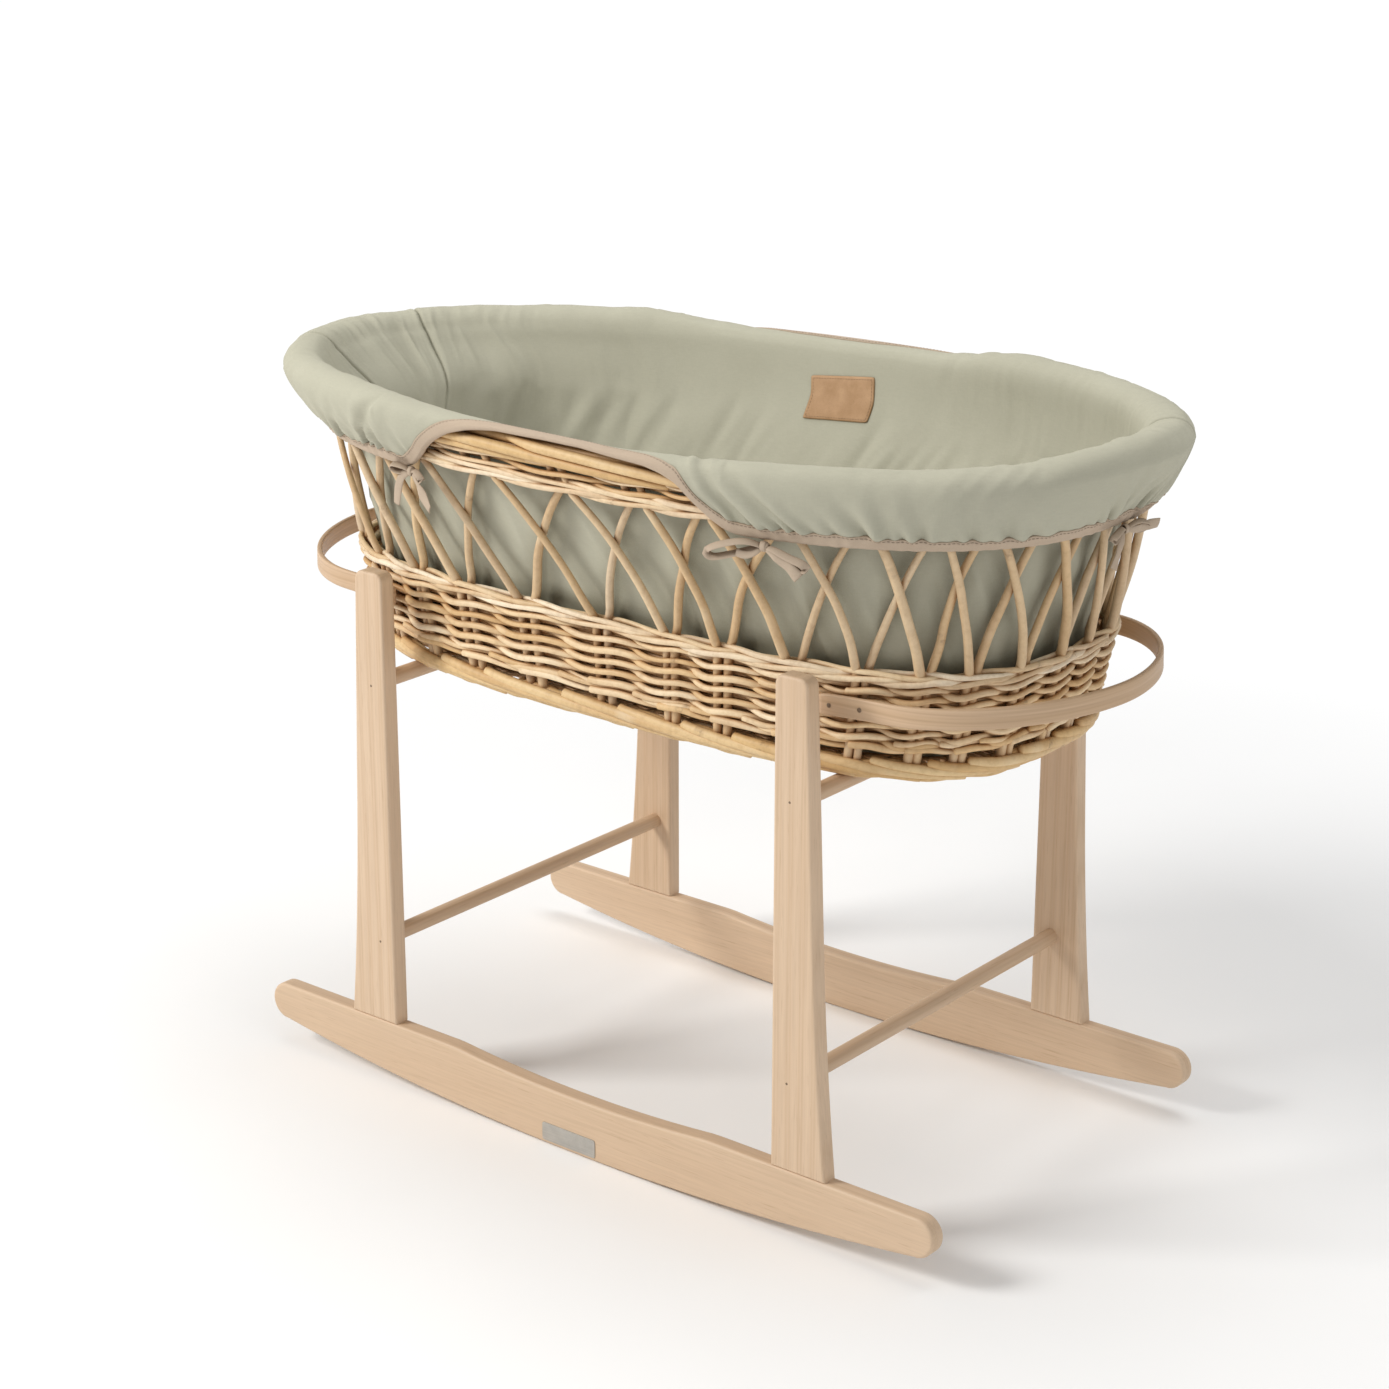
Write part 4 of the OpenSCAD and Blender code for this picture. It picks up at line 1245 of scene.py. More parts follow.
def hoop_side_y(x):
    return HOOP_HALF_Y + 0.0011 * (HOOP_BEND_X - x) ** 2


def hoop_z(x):
    return HOOP_Z + HOOP_SLOPE * (x - LEVEL_X)


def hoop_line():
    """(x, y) middle line of the right hoop."""
    half = [(x, hoop_side_y(x)) for x in np.linspace(254, HOOP_BEND_X, 16)]
    for t in np.radians(np.linspace(0, 90, 46))[1:-1]:
        half.append((HOOP_BEND_X + (HOOP_END_X - HOOP_BEND_X) * math.sin(t) ** (2 / 1.85),
                     HOOP_HALF_Y * math.cos(t) ** (2 / 1.85)))
    line = np.array(half + [(HOOP_END_X, 0.0)] + [(x, -y) for x, y in half[::-1]])
    length = arc_length(line)
    even = np.linspace(0, length[-1], 150)
    line = np.stack([np.interp(even, length, line[:, k]) for k in range(2)], 1)
    for _ in range(4):
        line[1:-1] = 0.25 * line[:-2] + 0.5 * line[1:-1] + 0.25 * line[2:]
    return line


def carry_hoop(x_side, side):
    line = hoop_line()
    path = np.stack([x_side * line[:, 0] - HOOP_SHIFT, line[:, 1], hoop_z(line[:, 0])], 1)
    tangent = unit(np.gradient(path, axis=0))
    upward = square_to(tangent, np.array([-x_side * HOOP_SLOPE, 0, 0.9992]))
    outline = rounded_rectangle(HOOP_THICK / 2, HOOP_HEIGHT / 2, 1.7, (0, 22, 45, 68, 90))
    # the ends are eased thinner
    order = np.arange(len(path))
    taper = np.interp(np.minimum(order, order[::-1]), [0, 1, 2], [0.86, 0.96, 1.0])
    parts = Parts()
    parts.section(path, np.array(outline) * taper[:, None, None], np.cross(upward, tangent),
                  upward, rid=0.3)
    ob = parts.build(f"carry_hoop_{side}", "basket", BENT_STRIP, [f"handle_hoop_{side}"],
                     "hoop_wood")
    face_outward(ob)


def hoop_nails():
    # distance out from the hoop's face, radius
    profile = [(-20, 0.2), (-18, 0.9), (-0.6, 0.95), (-0.5, 2.1), (0.25, 2.2), (0.55, 1.9),
               (0.75, 1.1), (0.8, 0.2)]
    parts = Parts()
    for x_side in (-1, 1):
        for y_side in (-1, 1):
            for x in (265.0, 295.0):
                face = hoop_side_y(x) + HOOP_THICK / 2
                path = [(x_side * x - HOOP_SHIFT, y_side * (face + d), hoop_z(x))
                        for d, _ in profile]
                parts.tube(path, [radius for _, radius in profile], (1, 0, 0), sides=16,
                           rounded=False)
    parts.build("nails", "basket", NAIL_STEEL, ["hoop_nails"], "nail_steel")


for x_side, side in SIDES_OF_X:
    carry_hoop(x_side, side)
hoop_nails()

# --------------------------------------------------------------------------
# liner: one sheet with an inner skin, a padded roll over the rim and a return skin.
# Its grid has a column at each of COLUMNS; rows run up the wall and over the roll.
# --------------------------------------------------------------------------
ROLL_FOOT = 640         # height where the wall passes into the roll
LINER_FLOOR = 441.5
# cross sections of the roll as (out, z) control points, from the inside over the rim:
# full padding at the ends, full padding elsewhere, and drawn tight in the cut-outs
PUFFY_END = [(-22.1, 640), (-22.6, 661), (-25.5, 680), (-29.3, 695), (-29.0, 706),
             (-21.5, 714.5), (-9.0, 718), (1.4, 716), (7.9, 710), (11.4, 701), (12.0, 690),
             (11.2, 678), (9.4, 666), (7.4, 657), (5.8, 651), (4.8, 646)]
PUFFY = [(-22.1, 640), (-22.1, 661), (-22.6, 680), (-24.0, 695), (-22.5, 706), (-16.5, 714.0),
         (-7.0, 717.5), (3.0, 716), (11.5, 710), (16.0, 701), (17.0, 690), (15.6, 678),
         (12.4, 666), (8.6, 657), (6.0, 651), (4.8, 646)]
TIGHT = [(-22.1, 640), (-22.0, 660), (-22.0, 680), (-21.5, 692), (-20.5, 698), (-17.5, 702.5),
         (-10.0, 705), (-2.0, 705), (4.5, 702.5), (8.2, 696), (8.8, 688), (7.5, 679),
         (5.0, 669), (4.5, 660), (4.5, 652), (4.5, 646)]
# turn, control-point number of the section where the taped edge lies
FRONT_EDGE = [(0.6560, 15), (0.6669, 14.95), (0.6766, 13.3), (0.6872, 11.8), (0.7014, 10.2),
              (0.7100, 9.25), (0.7203, 8.4), (0.7348, 7.5), (0.7593, 7.2), (0.7750, 7.25),
              (0.7903, 7.9), (0.8050, 8.4), (0.8120, 9.0), (0.8180, 9.9), (0.8217, 11.2),
              (0.8252, 12.2), (0.8293, 13.2), (0.8348, 14.3), (0.8400, 14.9), (0.8460, 15)]
BACK_EDGE = [(1.0185 - turn, edge) for turn, edge in FRONT_EDGE]
# turn, fullness of the padding
PUFF = [(0.0, 1.0), (0.165, 1.0), (0.180, 0.75), (0.207, 0.0), (0.306, 0.0), (0.335, 0.55),
        (0.360, 1.0), (0.50, 1.0), (0.630, 1.0), (0.665, 0.70), (0.705, 0.18), (0.735, 0.0),
        (0.79, 0.0), (0.82, 0.28), (0.85, 0.50), (0.90, 0.60), (0.935, 0.72), (0.97, 0.95)]
SEAMS = [0.4660, 0.5340, 0.0340, 0.9660]
# columns set close together at each seam
SEAM_COLUMNS = np.array([-0.0010, -0.0006, -0.0003, 0.0, 0.0003, 0.0006, 0.0010])


def periodic(turn, knots):
    knots = np.array(sorted(knots), float)
    x = np.concatenate([knots[:, 0] - 1, knots[:, 0], knots[:, 0] + 1])
    return np.interp(np.asarray(turn) % 1.0, x, np.tile(knots[:, 1], 3))


def place_columns():
    even = np.arange(1180) / 1180
    clear = np.all(np.abs(signed(even[:, None] - np.array(SEAMS)[None])) > 0.0014, axis=1)
    close = np.concatenate([seam + SEAM_COLUMNS for seam in SEAMS])
    return np.sort(np.concatenate([even[clear], close % 1]))


COLUMNS = place_columns()
COLUMN_COUNT = len(COLUMNS)
TURNS = COLUMNS[:, None]
RIM_LENGTH = length_at(690)
EDGE = blur(periodic(COLUMNS, FRONT_EDGE + BACK_EDGE), 2)
FULLNESS = blur(periodic(COLUMNS, PUFF), 10)
GATHER = smooth01((FULLNESS - 0.22) / 0.3) * smooth01((EDGE - 13.8) / 1.0)


def smooth_noise(turn, v, turn_cells, v_cells, seed):
    """Smooth noise in -1..1, periodic in turn, over v in 0..1."""
    grid = np.random.default_rng(seed).uniform(-1, 1, (turn_cells, v_cells + 3))
    x = (np.asarray(turn) % 1.0) * turn_cells
    y = np.clip(np.asarray(v), 0, 1) * v_cells
    x, y = np.broadcast_arrays(x, y)
    i = np.floor(x).astype(int)
    j = np.floor(y).astype(int)
    side, up = smooth01(x - i), smooth01(y - j)
    i, after = i % turn_cells, (i + 1) % turn_cells
    low = grid[i, j] * (1 - side) + grid[after, j] * side
    high = grid[i, j + 1] * (1 - side) + grid[after, j + 1] * side
    return low * (1 - up) + high * up


def seam_groove(depth=1.3):
    """Depth of the seams at every column; there is none at the front right."""
    total = np.zeros_like(COLUMNS)
    for seam in SEAMS[:3]:
        x = signed(COLUMNS - seam) * RIM_LENGTH
        total += (-depth * np.exp(-(x / 1.3) ** 2)
                  + 0.35 * depth * np.exp(-((np.abs(x) - 4.5) / 2.6) ** 2))
    return total


def seam_shift(z):
    """Turns of the columns at a height: the seams lean to the ends as they go down."""
    down = np.clip((700 - np.asarray(z, float)) / 70.0, 0, 1.6)
    shift = 0.0
    for seam, direction in zip(SEAMS, (1, -1, -1, 1)):
        shift = shift + direction * 0.015 * down * np.exp(-(signed(TURNS - seam) / 0.022) ** 2)
    return TURNS + shift


def wall_folds(turn, z):
    """Soft folds of the thin liner wall, shared by both of its skins."""
    v = (z - 440) / 260
    upright = (1.5 * smooth_noise(turn + 0.02 * v, v, 46, 2, seed=5)
               + 1.0 * smooth_noise(turn - 0.015 * v, v, 92, 3, seed=6))
    lower = smooth01((655 - z) / 60)
    broad = smooth_noise(turn + 0.055 * v, v, 60, 3, seed=7)
    narrow = smooth_noise(turn + 0.085 * v, v, 110, 5, seed=8)
    slanting = 1.9 * (1 - 2 * np.abs(broad)) + 0.9 * (1 - 2 * np.abs(narrow))
    right = 1 + 0.5 * np.exp(-(((np.asarray(turn) % 1.0) - 0.93) / 0.07) ** 2)
    depth = 0.55 * upright + 1.3 * lower * (slanting - 0.9) * right
    return depth * smooth01((z - 458) / 70) * smooth01((700 - z) / 40)


def edge_creases(from_edge):
    """Creases that climb from the gathered tape; from_edge is (column, row) in mm."""
    draw = np.random.default_rng(21)
    # turn and half width of the places beside the cut-outs
    cut_sides = ((0.865, 0.028), (0.632, 0.024), (0.155, 0.028), (0.388, 0.024))
    total = np.zeros(from_edge.shape)
    x = 0.0
    while x < RIM_LENGTH:
        x += draw.uniform(8, 17)
        turn = (x / RIM_LENGTH) % 1.0
        gather = float(np.interp(turn, COLUMNS, GATHER))
        if gather < 0.3:
            continue
        big = draw.random() < 0.36
        # slant: towards the nearer cut-out as the crease climbs
        side = -1.0 if (0.83 < turn or 0.33 < turn < 0.5) else 1.0
        near = max(math.exp(-((turn - middle) / width) ** 2) for middle, width in cut_sides)
        depth = (draw.uniform(3.6, 5.6) if big else draw.uniform(1.4, 2.8)) * (1 + 0.45 * near)
        reach = (draw.uniform(18, 32) if big else draw.uniform(8, 15)) * (1 + 0.6 * near)
        width = draw.uniform(2.6, 3.8) if big else draw.uniform(2.0, 3.0)
        slant = side * (draw.uniform(0.15, 0.45) + 0.75 * near)
        apart = signed(COLUMNS - x / RIM_LENGTH) * RIM_LENGTH
        close = np.abs(apart) < 75
        climb = from_edge[close]
        t = apart[close][:, None] - slant * climb
        wide = width * (1 + climb / 30)
        fade = np.exp(-(climb / reach) ** 1.6) * smooth01((climb - 6.0) / 5.5)
        total[close] += gather * depth * fade * (
            -np.exp(-(t / wide) ** 2)
            + 0.55 * np.exp(-((np.abs(t) - 2.1 * wide) / (1.2 * wide)) ** 2))
    return total


def eased_wall(turn, z, out):
    """The wall with its knee eased, as stretched cloth follows it."""
    total = 0.0
    for dz, weight in ((-24, 1), (-16, 2), (-8, 3), (0, 3), (8, 3), (16, 2), (24, 1)):
        point = wall_at(turn, np.minimum(z + dz, 760.0), out)
        point[..., 2] -= dz
        total = total + weight * point
    return total / 15.0


def draped(turn, z, out, ease):
    """A point between the plain wall (ease 0) and the eased one (ease 1)."""
    ease = ease[..., None]
    # extra room at the steep left end
    inset = -1.6 - 3.0 * np.exp(-(((np.asarray(turn) % 1.0) - 0.5) / 0.07) ** 2)
    return wall_at(turn, z, out) * (1 - ease) + eased_wall(turn, z, out + inset) * ease


def roll_points(section, station):
    """Places the roll's (out, z) sections on the basket."""
    return draped(seam_shift(section[..., 1]), section[..., 1], section[..., 0],
                  smooth01((5.5 - station) / 4.0))


def wall_points(turn, z, out):
    return draped(turn, z, out, smooth01((z - 470) / 60.0))


def section_normals(section):
    """Directions square to the sections, out of the padding."""
    tangent = unit(np.gradient(section, axis=1))
    return np.stack([-tangent[..., 1], tangent[..., 0]], -1)


def skin_normals(points, guide):
    """Normals of a skin, on the side that guide points to."""
    around = np.roll(points, -1, 0) - np.roll(points, 1, 0)
    normal = unit(np.cross(around, np.gradient(points, axis=1)))
    return normal * np.where((normal * guide).sum(-1, keepdims=True) < 0, -1.0, 1.0)


def roll_sections(rho):
    """(out, z) of the roll at each column, from the wall to the taped edge."""
    station = EDGE[:, None] * rho[None, :]
    full = FULLNESS[:, None, None]
    end = np.maximum(np.exp(-(((COLUMNS - 0.5) / 0.085) ** 4)),
                     np.exp(-((signed(COLUMNS) / 0.085) ** 4)))[:, None, None]
    puffy = (1 - end) * catmull(PUFFY, station) + end * catmull(PUFFY_END, station)
    return station, (1 - full) * catmull(TIGHT, station) + full * puffy


def inflate(points, pins):
    """Cloth pass: the padded roll is inflated between its pinned edges."""
    rows, columns = points.shape[:2]
    ob = make_mesh("swell_tmp", points.reshape(-1, 3),
                   grid_quads(numbered(rows, columns), close_rows=True))
    group = ob.vertex_groups.new(name="pin")
    weights = np.round(pins.reshape(-1), 1)
    for weight in np.unique(weights):
        if weight > 0:
            members = [int(i) for i in np.nonzero(weights == weight)[0]]
            group.add(members, float(weight), "REPLACE")
    swollen = simulate_cloth(
        ob, frames=14, cache_end=15, quality=6, mass=0.25, tension_stiffness=25,
        compression_stiffness=12, shear_stiffness=6, bending_stiffness=0.35, air_damping=2.0,
        uniform_pressure_force=3.0, shrink_min=-0.055, pin_stiffness=1.0)
    swollen = swollen.reshape(rows, columns, 3).astype(float) / MM
    mesh = ob.data
    bpy.data.objects.remove(ob)
    bpy.data.meshes.remove(mesh)
    move = swollen - points
    size = np.linalg.norm(move, axis=2, keepdims=True)
    return points + move * np.minimum(1.0, 9.0 / np.maximum(size, 1e-9))


def swell_of_roll(roll, rho, station, section, away):
    """Movement of the roll's points, worked out on every third column and second row."""
    rows = len(rho)
    column_ids = np.arange(0, COLUMN_COUNT, 3)
    row_ids = np.unique(np.append(np.arange(0, rows, 2), rows - 1))
    coarse = np.ix_(column_ids, row_ids)
    inset = 1.4 * FULLNESS[:, None] * np.sin(np.pi * rho)[None]
    start = roll_points(section - away * inset[..., None], station)[coarse]
    pins = np.zeros((len(column_ids), len(row_ids)))
    pins[:, [0, -1]] = 1.0
    pins = np.maximum(pins, smooth01((0.35 - FULLNESS[column_ids]) / 0.3)[:, None])
    move = inflate(start, pins) - roll[coarse]
    # both edges stay in place
    rho_kept = rho[row_ids][None, :, None]
    move = move - (move[:, :1] * (1 - rho_kept) + move[:, -1:] * rho_kept)
    # back to the fine grid
    turns = np.concatenate([COLUMNS[column_ids] + whole for whole in (-1, 0, 1)])
    move = np.concatenate([move] * 3, 0)
    k = np.clip(np.searchsorted(turns, COLUMNS) - 1, 0, len(turns) - 2)
    part = ((COLUMNS - turns[k]) / (turns[k + 1] - turns[k]))[:, None, None]
    move = move[k] * (1 - part) + move[k + 1] * part
    k = np.clip(np.searchsorted(row_ids, np.arange(rows)) - 1, 0, len(row_ids) - 2)
    part = ((np.arange(rows) - row_ids[k]) / (row_ids[k + 1] - row_ids[k]))[None, :, None]
    move = blur(move[:, k] * (1 - part) + move[:, k + 1] * part, 2)
    # smooth along the rows too, limit, and fade out towards both edges
    for _ in range(6):
        pad = np.concatenate([move[:, :1], move, move[:, -1:]], 1)
        move = 0.25 * pad[:, :-2] + 0.5 * pad[:, 1:-1] + 0.25 * pad[:, 2:]
    size = np.maximum(np.linalg.norm(move, axis=2, keepdims=True), 1e-9)
    move *= 2.8 * np.tanh(size / 2.8) / size
    fade = (smooth01(rho / 0.5) * smooth01((1 - rho) / 0.15))[None, :, None]
    return move * (fade * smooth01(FULLNESS / 0.7)[:, None, None])


def roll_relief(rho, from_edge):
    """How far the creases, lumps and seams stand out of the roll."""
    turn = TURNS * np.ones((1, len(rho)))
    v = rho[None] * np.ones((COLUMN_COUNT, 1))
    full = FULLNESS[:, None]
    relief = edge_creases(from_edge)
    # slow lumps in the wadding, fine wrinkles
    relief += full * (1.3 * smooth_noise(turn, v, 74, 4, seed=31)
                      + 0.45 * smooth_noise(turn + 0.004 * v, v, 260, 6, seed=37))
    # gathers inside the tight ends
    inner = smooth01((0.50 - rho) / 0.22)[None] * smooth01(rho / 0.12)[None]
    ends = (np.exp(-((COLUMNS - 0.485) / 0.07) ** 2)
            + np.exp(-(signed(COLUMNS) / 0.075) ** 2))[:, None]
    broad = smooth_noise(turn + 0.012 * v, v, 130, 2, seed=33)
    narrow = smooth_noise(turn + 0.020 * v, v, 250, 3, seed=34)
    relief += ends * full * inner * (3.6 * (0.45 - np.abs(broad) ** 0.7)
                                     + 1.1 * (0.5 - np.abs(narrow)))
    # folds across the top of the roll where it turns at the right end
    right = np.exp(-((signed(COLUMNS) + 0.06) / 0.045) ** 2)[:, None] * full
    across = smooth_noise(turn + 0.05 * v, v, 120, 2, seed=36)
    relief += right * smooth01(rho / 0.2)[None] * 1.6 * (0.5 - np.abs(across) ** 0.8)
    at_edge = smooth01((1 - rho) / 0.05)[None]
    relief += seam_groove()[:, None] * (0.8 + 0.6 * full) * at_edge
    return relief * (at_edge * 0.93 + 0.07)


def outer_roll(rho):
    """The padded skin: points, normals and distance from the taped edge."""
    station, section = roll_sections(rho)
    away = section_normals(section)
    steps = np.linalg.norm(np.diff(section, axis=1), axis=2)
    length = np.concatenate([np.zeros((COLUMN_COUNT, 1)), np.cumsum(steps, 1)], 1)
    from_edge = length[:, -1:] - length
    roll = roll_points(section, station)
    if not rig.quick():
        roll = roll + swell_of_roll(roll, rho, station, section, away)
    guide = roll_points(section + away, station) - roll_points(section, station)
    normal = skin_normals(roll, guide)
    z = section[..., 1]
    low_z = np.minimum(z, ROLL_FOOT)
    folds = wall_folds(seam_shift(low_z), low_z) * smooth01((0.30 - rho) / 0.30)[None]
    points = (roll + normal * roll_relief(rho, from_edge)[..., None]
              + wall_out(TURNS, z) * folds[..., None])
    return points, normal, from_edge


def return_skin(roll, roll_normal):
    """The skin behind the padding, from the taped edge down to the wall."""
    rho = np.linspace(0, 1, 22)
    station = EDGE[:, None] * rho[None]
    section = catmull(TIGHT, station)
    away = section_normals(section)[:, ::-1]
    rho, station = rho[::-1], station[:, ::-1]
    section = section[:, ::-1] - away * 1.5
    z = section[..., 1]
    folds = wall_folds(TURNS, np.minimum(z, ROLL_FOOT)) * smooth01((0.30 - rho) / 0.30)[None]
    points = roll_points(section, station) + wall_out(TURNS, z) * folds[..., None]
    # near the wall it lies right behind the inner skin
    rows = roll.shape[1]
    row = rho * (rows - 1)
    low = np.minimum(np.floor(row).astype(int), rows - 2)
    part = (row - low)[None, :, None]
    front = roll[:, low] * (1 - part) + roll[:, low + 1] * part
    normal = unit(roll_normal[:, low] * (1 - part) + roll_normal[:, low + 1] * part)
    near = smooth01((4.6 - station) / 2.2)[..., None]
    points = (front - normal * 1.7) * near + points * (1 - near)
    guide = points - roll_points(section + away, station)
    return points, skin_normals(points, guide)


def wall_skins():
    """Rows of the inner skin going up and of the return skin going down, with floors."""
    z = LINER_FLOOR + (ROLL_FOOT - LINER_FLOOR) * np.linspace(0, 1, 30)[:-1] ** 0.92
    out = -22.1 - 6.0 * np.exp(-(z - LINER_FLOOR) / 5.0)

    def floor_rows(edge, height, steps):
        centre = np.array([0, 0, height])
        return centre + (edge - centre) * (0.02 + 0.98 * steps[None, :, None])

    heights = z[None] * np.ones((COLUMN_COUNT, 1))
    turn = seam_shift(heights)
    groove = seam_groove(1.2)[:, None] * smooth01((heights - 520) / 60)
    folds = wall_folds(turn, heights)
    inner = wall_points(turn, heights, out[None] + (folds - groove))
    outer = wall_points(turn, heights, (out + 1.6)[None] + folds)[:, ::-1]
    edge = outer[:, -1:].copy()
    edge[..., 2] = 440.4
    up = [floor_rows(inner[:, :1], LINER_FLOOR, np.linspace(0, 1, 8)[:-1]), inner]
    down = [outer, edge, floor_rows(edge, 440.4, np.linspace(1, 0, 8)[1:])]
    return up, down


def close_ring(ids):
    """Fills a ring of vertices with strips laid across it."""
    n = len(ids)
    i = np.arange(0, n // 2 - 1)
    quads = np.stack([ids[i], ids[n - 1 - i], ids[n - 2 - i], ids[i + 1]], -1)
    tris = np.array([[ids[n // 2 - 1], ids[n // 2 + 1], ids[n // 2]]]) if n % 2 else NO_TRIS
    return quads, tris


def make_liner():
    """Builds the sheet; gives it back with its two upper skins for the tape."""
    roll, normal, from_edge = outer_roll(np.linspace(0, 1, 44))
    back, back_normal = return_skin(roll, normal)
    up, down = wall_skins()
    grid = np.concatenate([*up, roll, back, *down], 1)
    index = numbered(*grid.shape[:2])
    first_quads, first_tris = close_ring(index[:, 0])
    last_quads, last_tris = close_ring(index[::-1, -1])
    quads = np.vstack([grid_quads(index, close_rows=True), first_quads, last_quads])
    ob = make_mesh("liner", grid.reshape(-1, 3), quads, np.vstack([first_tris, last_tris]))
    face_outward(ob)
    dress(ob, "basket", SAGE, ["liner_wall", "liner_roll_left", "liner_roll_right"],
          "liner_cotton")
    return ob, (roll, normal, from_edge), (back, back_normal)


def on_skin(skin, distance, normal, wanted, lift):
    """The point of each column at a wanted distance from the edge, lifted off the skin."""
    points, normals = np.empty((COLUMN_COUNT, 3)), np.empty((COLUMN_COUNT, 3))
    for c in range(COLUMN_COUNT):
        for k in range(3):
            points[c, k] = np.interp(wanted[c], distance[c], skin[c, :, k])
            normals[c, k] = np.interp(wanted[c], distance[c], normal[c, :, k])
    lift = np.broadcast_to(np.asarray(lift, float), (COLUMN_COUNT,))
    return blur(points, 1) + unit(blur(normals, 4)) * lift[:, None]


TAPE_WIDTH = 9.6
# distance from the edge, lift off the skin: up the padded side, with its hem ridge
TAPE_FRONT = [(TAPE_WIDTH + 0.25, -0.2), (TAPE_WIDTH + 0.15, 0.7), (TAPE_WIDTH - 0.5, 1.15),
              (TAPE_WIDTH - 1.1, 0.85), (TAPE_WIDTH - 1.8, 1.2), (7.0, 1.3), (5.2, 1.35),
              (3.4, 1.35), (1.8, 1.35), (0.6, 1.35)]
# the same behind the edge
TAPE_BACK = [(0.6, 1.3), (2.4, 1.3), (5.0, 1.25), (TAPE_WIDTH - 1.8, 1.15),
             (TAPE_WIDTH - 0.5, 1.0), (TAPE_WIDTH, 0.5), (TAPE_WIDTH + 0.1, -0.2)]


def binding_tape(front_skin, back_skin):
    """Tape folded over the liner's edge: it lies on both skins."""
    roll, roll_normal, from_edge = front_skin
    back, back_normal = back_skin
    edge = 0.5 * (roll[:, -1] + back[:, 0])
    # distances are lengthened where the columns meet the edge at a slant
    along = unit(np.roll(edge, -2, 0) - np.roll(edge, 2, 0))
    down = unit(roll[:, -1] - roll[:, -5])
    slant = blur(np.sqrt(np.clip(1 - (along * down).sum(1) ** 2, 0.25, 1)), 6)
    # puckers of uneven pitch, a whole number of them round the edge
    pitch = blur(np.random.default_rng(77).uniform(9, 17, COLUMN_COUNT), 3)
    step = np.linalg.norm(np.roll(edge, -1, 0) - edge, axis=1)
    phase = np.cumsum(TAU * step / pitch)
    phase *= round(phase[-1] / TAU) * TAU / phase[-1]
    pucker = 0.38 * GATHER * (0.7 + 0.5 * np.sin(phase * 0.23)) * np.sin(phase)

    skin, distance, normal = roll[:, ::-1], from_edge[:, ::-1], roll_normal[:, ::-1]
    rings = [on_skin(skin, distance, normal, width / slant,
                     lift + pucker * (0.4 + 0.6 * (1 - width / TAPE_WIDTH)))
             for width, lift in TAPE_FRONT]
    side = blur(unit(roll[:, -1] - roll[:, -3]), 4)
    outward = unit(blur(roll_normal[:, -2], 4))
    for angle in np.radians((60, 30, 0, -30, -60)):
        rings.append(edge + side * (0.4 + 1.7 * math.cos(angle))
                     + outward * (2.1 * math.sin(angle) + pucker)[:, None])
    steps = np.linalg.norm(np.diff(back, axis=1), axis=2)
    distance = np.concatenate([np.zeros((COLUMN_COUNT, 1)), np.cumsum(steps, 1)], 1)
    rings += [on_skin(back, distance, back_normal, width / slant, lift - pucker * 0.3)
              for width, lift in TAPE_BACK]
    tape = np.stack(rings, 1)
    quads = grid_quads(numbered(*tape.shape[:2]), close_rows=True, close_columns=True)
    ob = make_mesh("liner_binding_tape", tape.reshape(-1, 3), quads)
    face_outward(ob)
    dress(ob, "basket", TAPE, ["liner_binding"], "tape_cotton")
    binding_stitches(tape[:, 3] * 0.3 + tape[:, 4] * 0.7, unit(blur(normal[:, 3], 3)))


def binding_stitches(path, normal):
    """Short stitches along the tape's hem."""
    offsets = np.array([0.0, 0.6, 1.4, 2.2, 2.8])
    lift = np.array([-0.3, 0.10, 0.2, 0.10, -0.3])
    length = arc_length(path)
    parts = Parts()
    here = 1.0
    while here < length[-1] - 4:
        points = np.stack([np.interp(here + offsets, length, path[:, k]) for k in range(3)], 1)
        up = normal[min(int(np.searchsorted(length, here)), COLUMN_COUNT - 1)]
        parts.tube(points + up * lift[:, None], 0.26, up, sides=5, rounded=False)
        here += 3.9
    parts.build("binding_stitches", "basket", THREAD, (), "tape_cotton")


THREAD = cloth_material("thread", light=(0.42, 0.34, 0.27), dark=(0.30, 0.23, 0.17),
                        pitch=0.0004, fuzz=0.1)
LINER, front_skin, back_skin = make_liner()
binding_tape(front_skin, back_skin)

# --------------------------------------------------------------------------
# ribbon bows
# --------------------------------------------------------------------------
# Points are (right, up, out) from the knot. A loop is (points, widths) and also starts and
# ends at the knot; a tail is (points, widths, twists in degrees).
RIBBON_WIDTH = 6.5
LOOP_WIDTHS = [RIBBON_WIDTH * part for part in (0.55, 1, 1, 1, 0.55)]
SMALL_LEFT_LOOP = ([(-10, 3, 4), (-21, 2.5, 6), (-25, -1.5, 5), (-19, -4.5, 2), (-9, -3, 0)],
                   LOOP_WIDTHS)
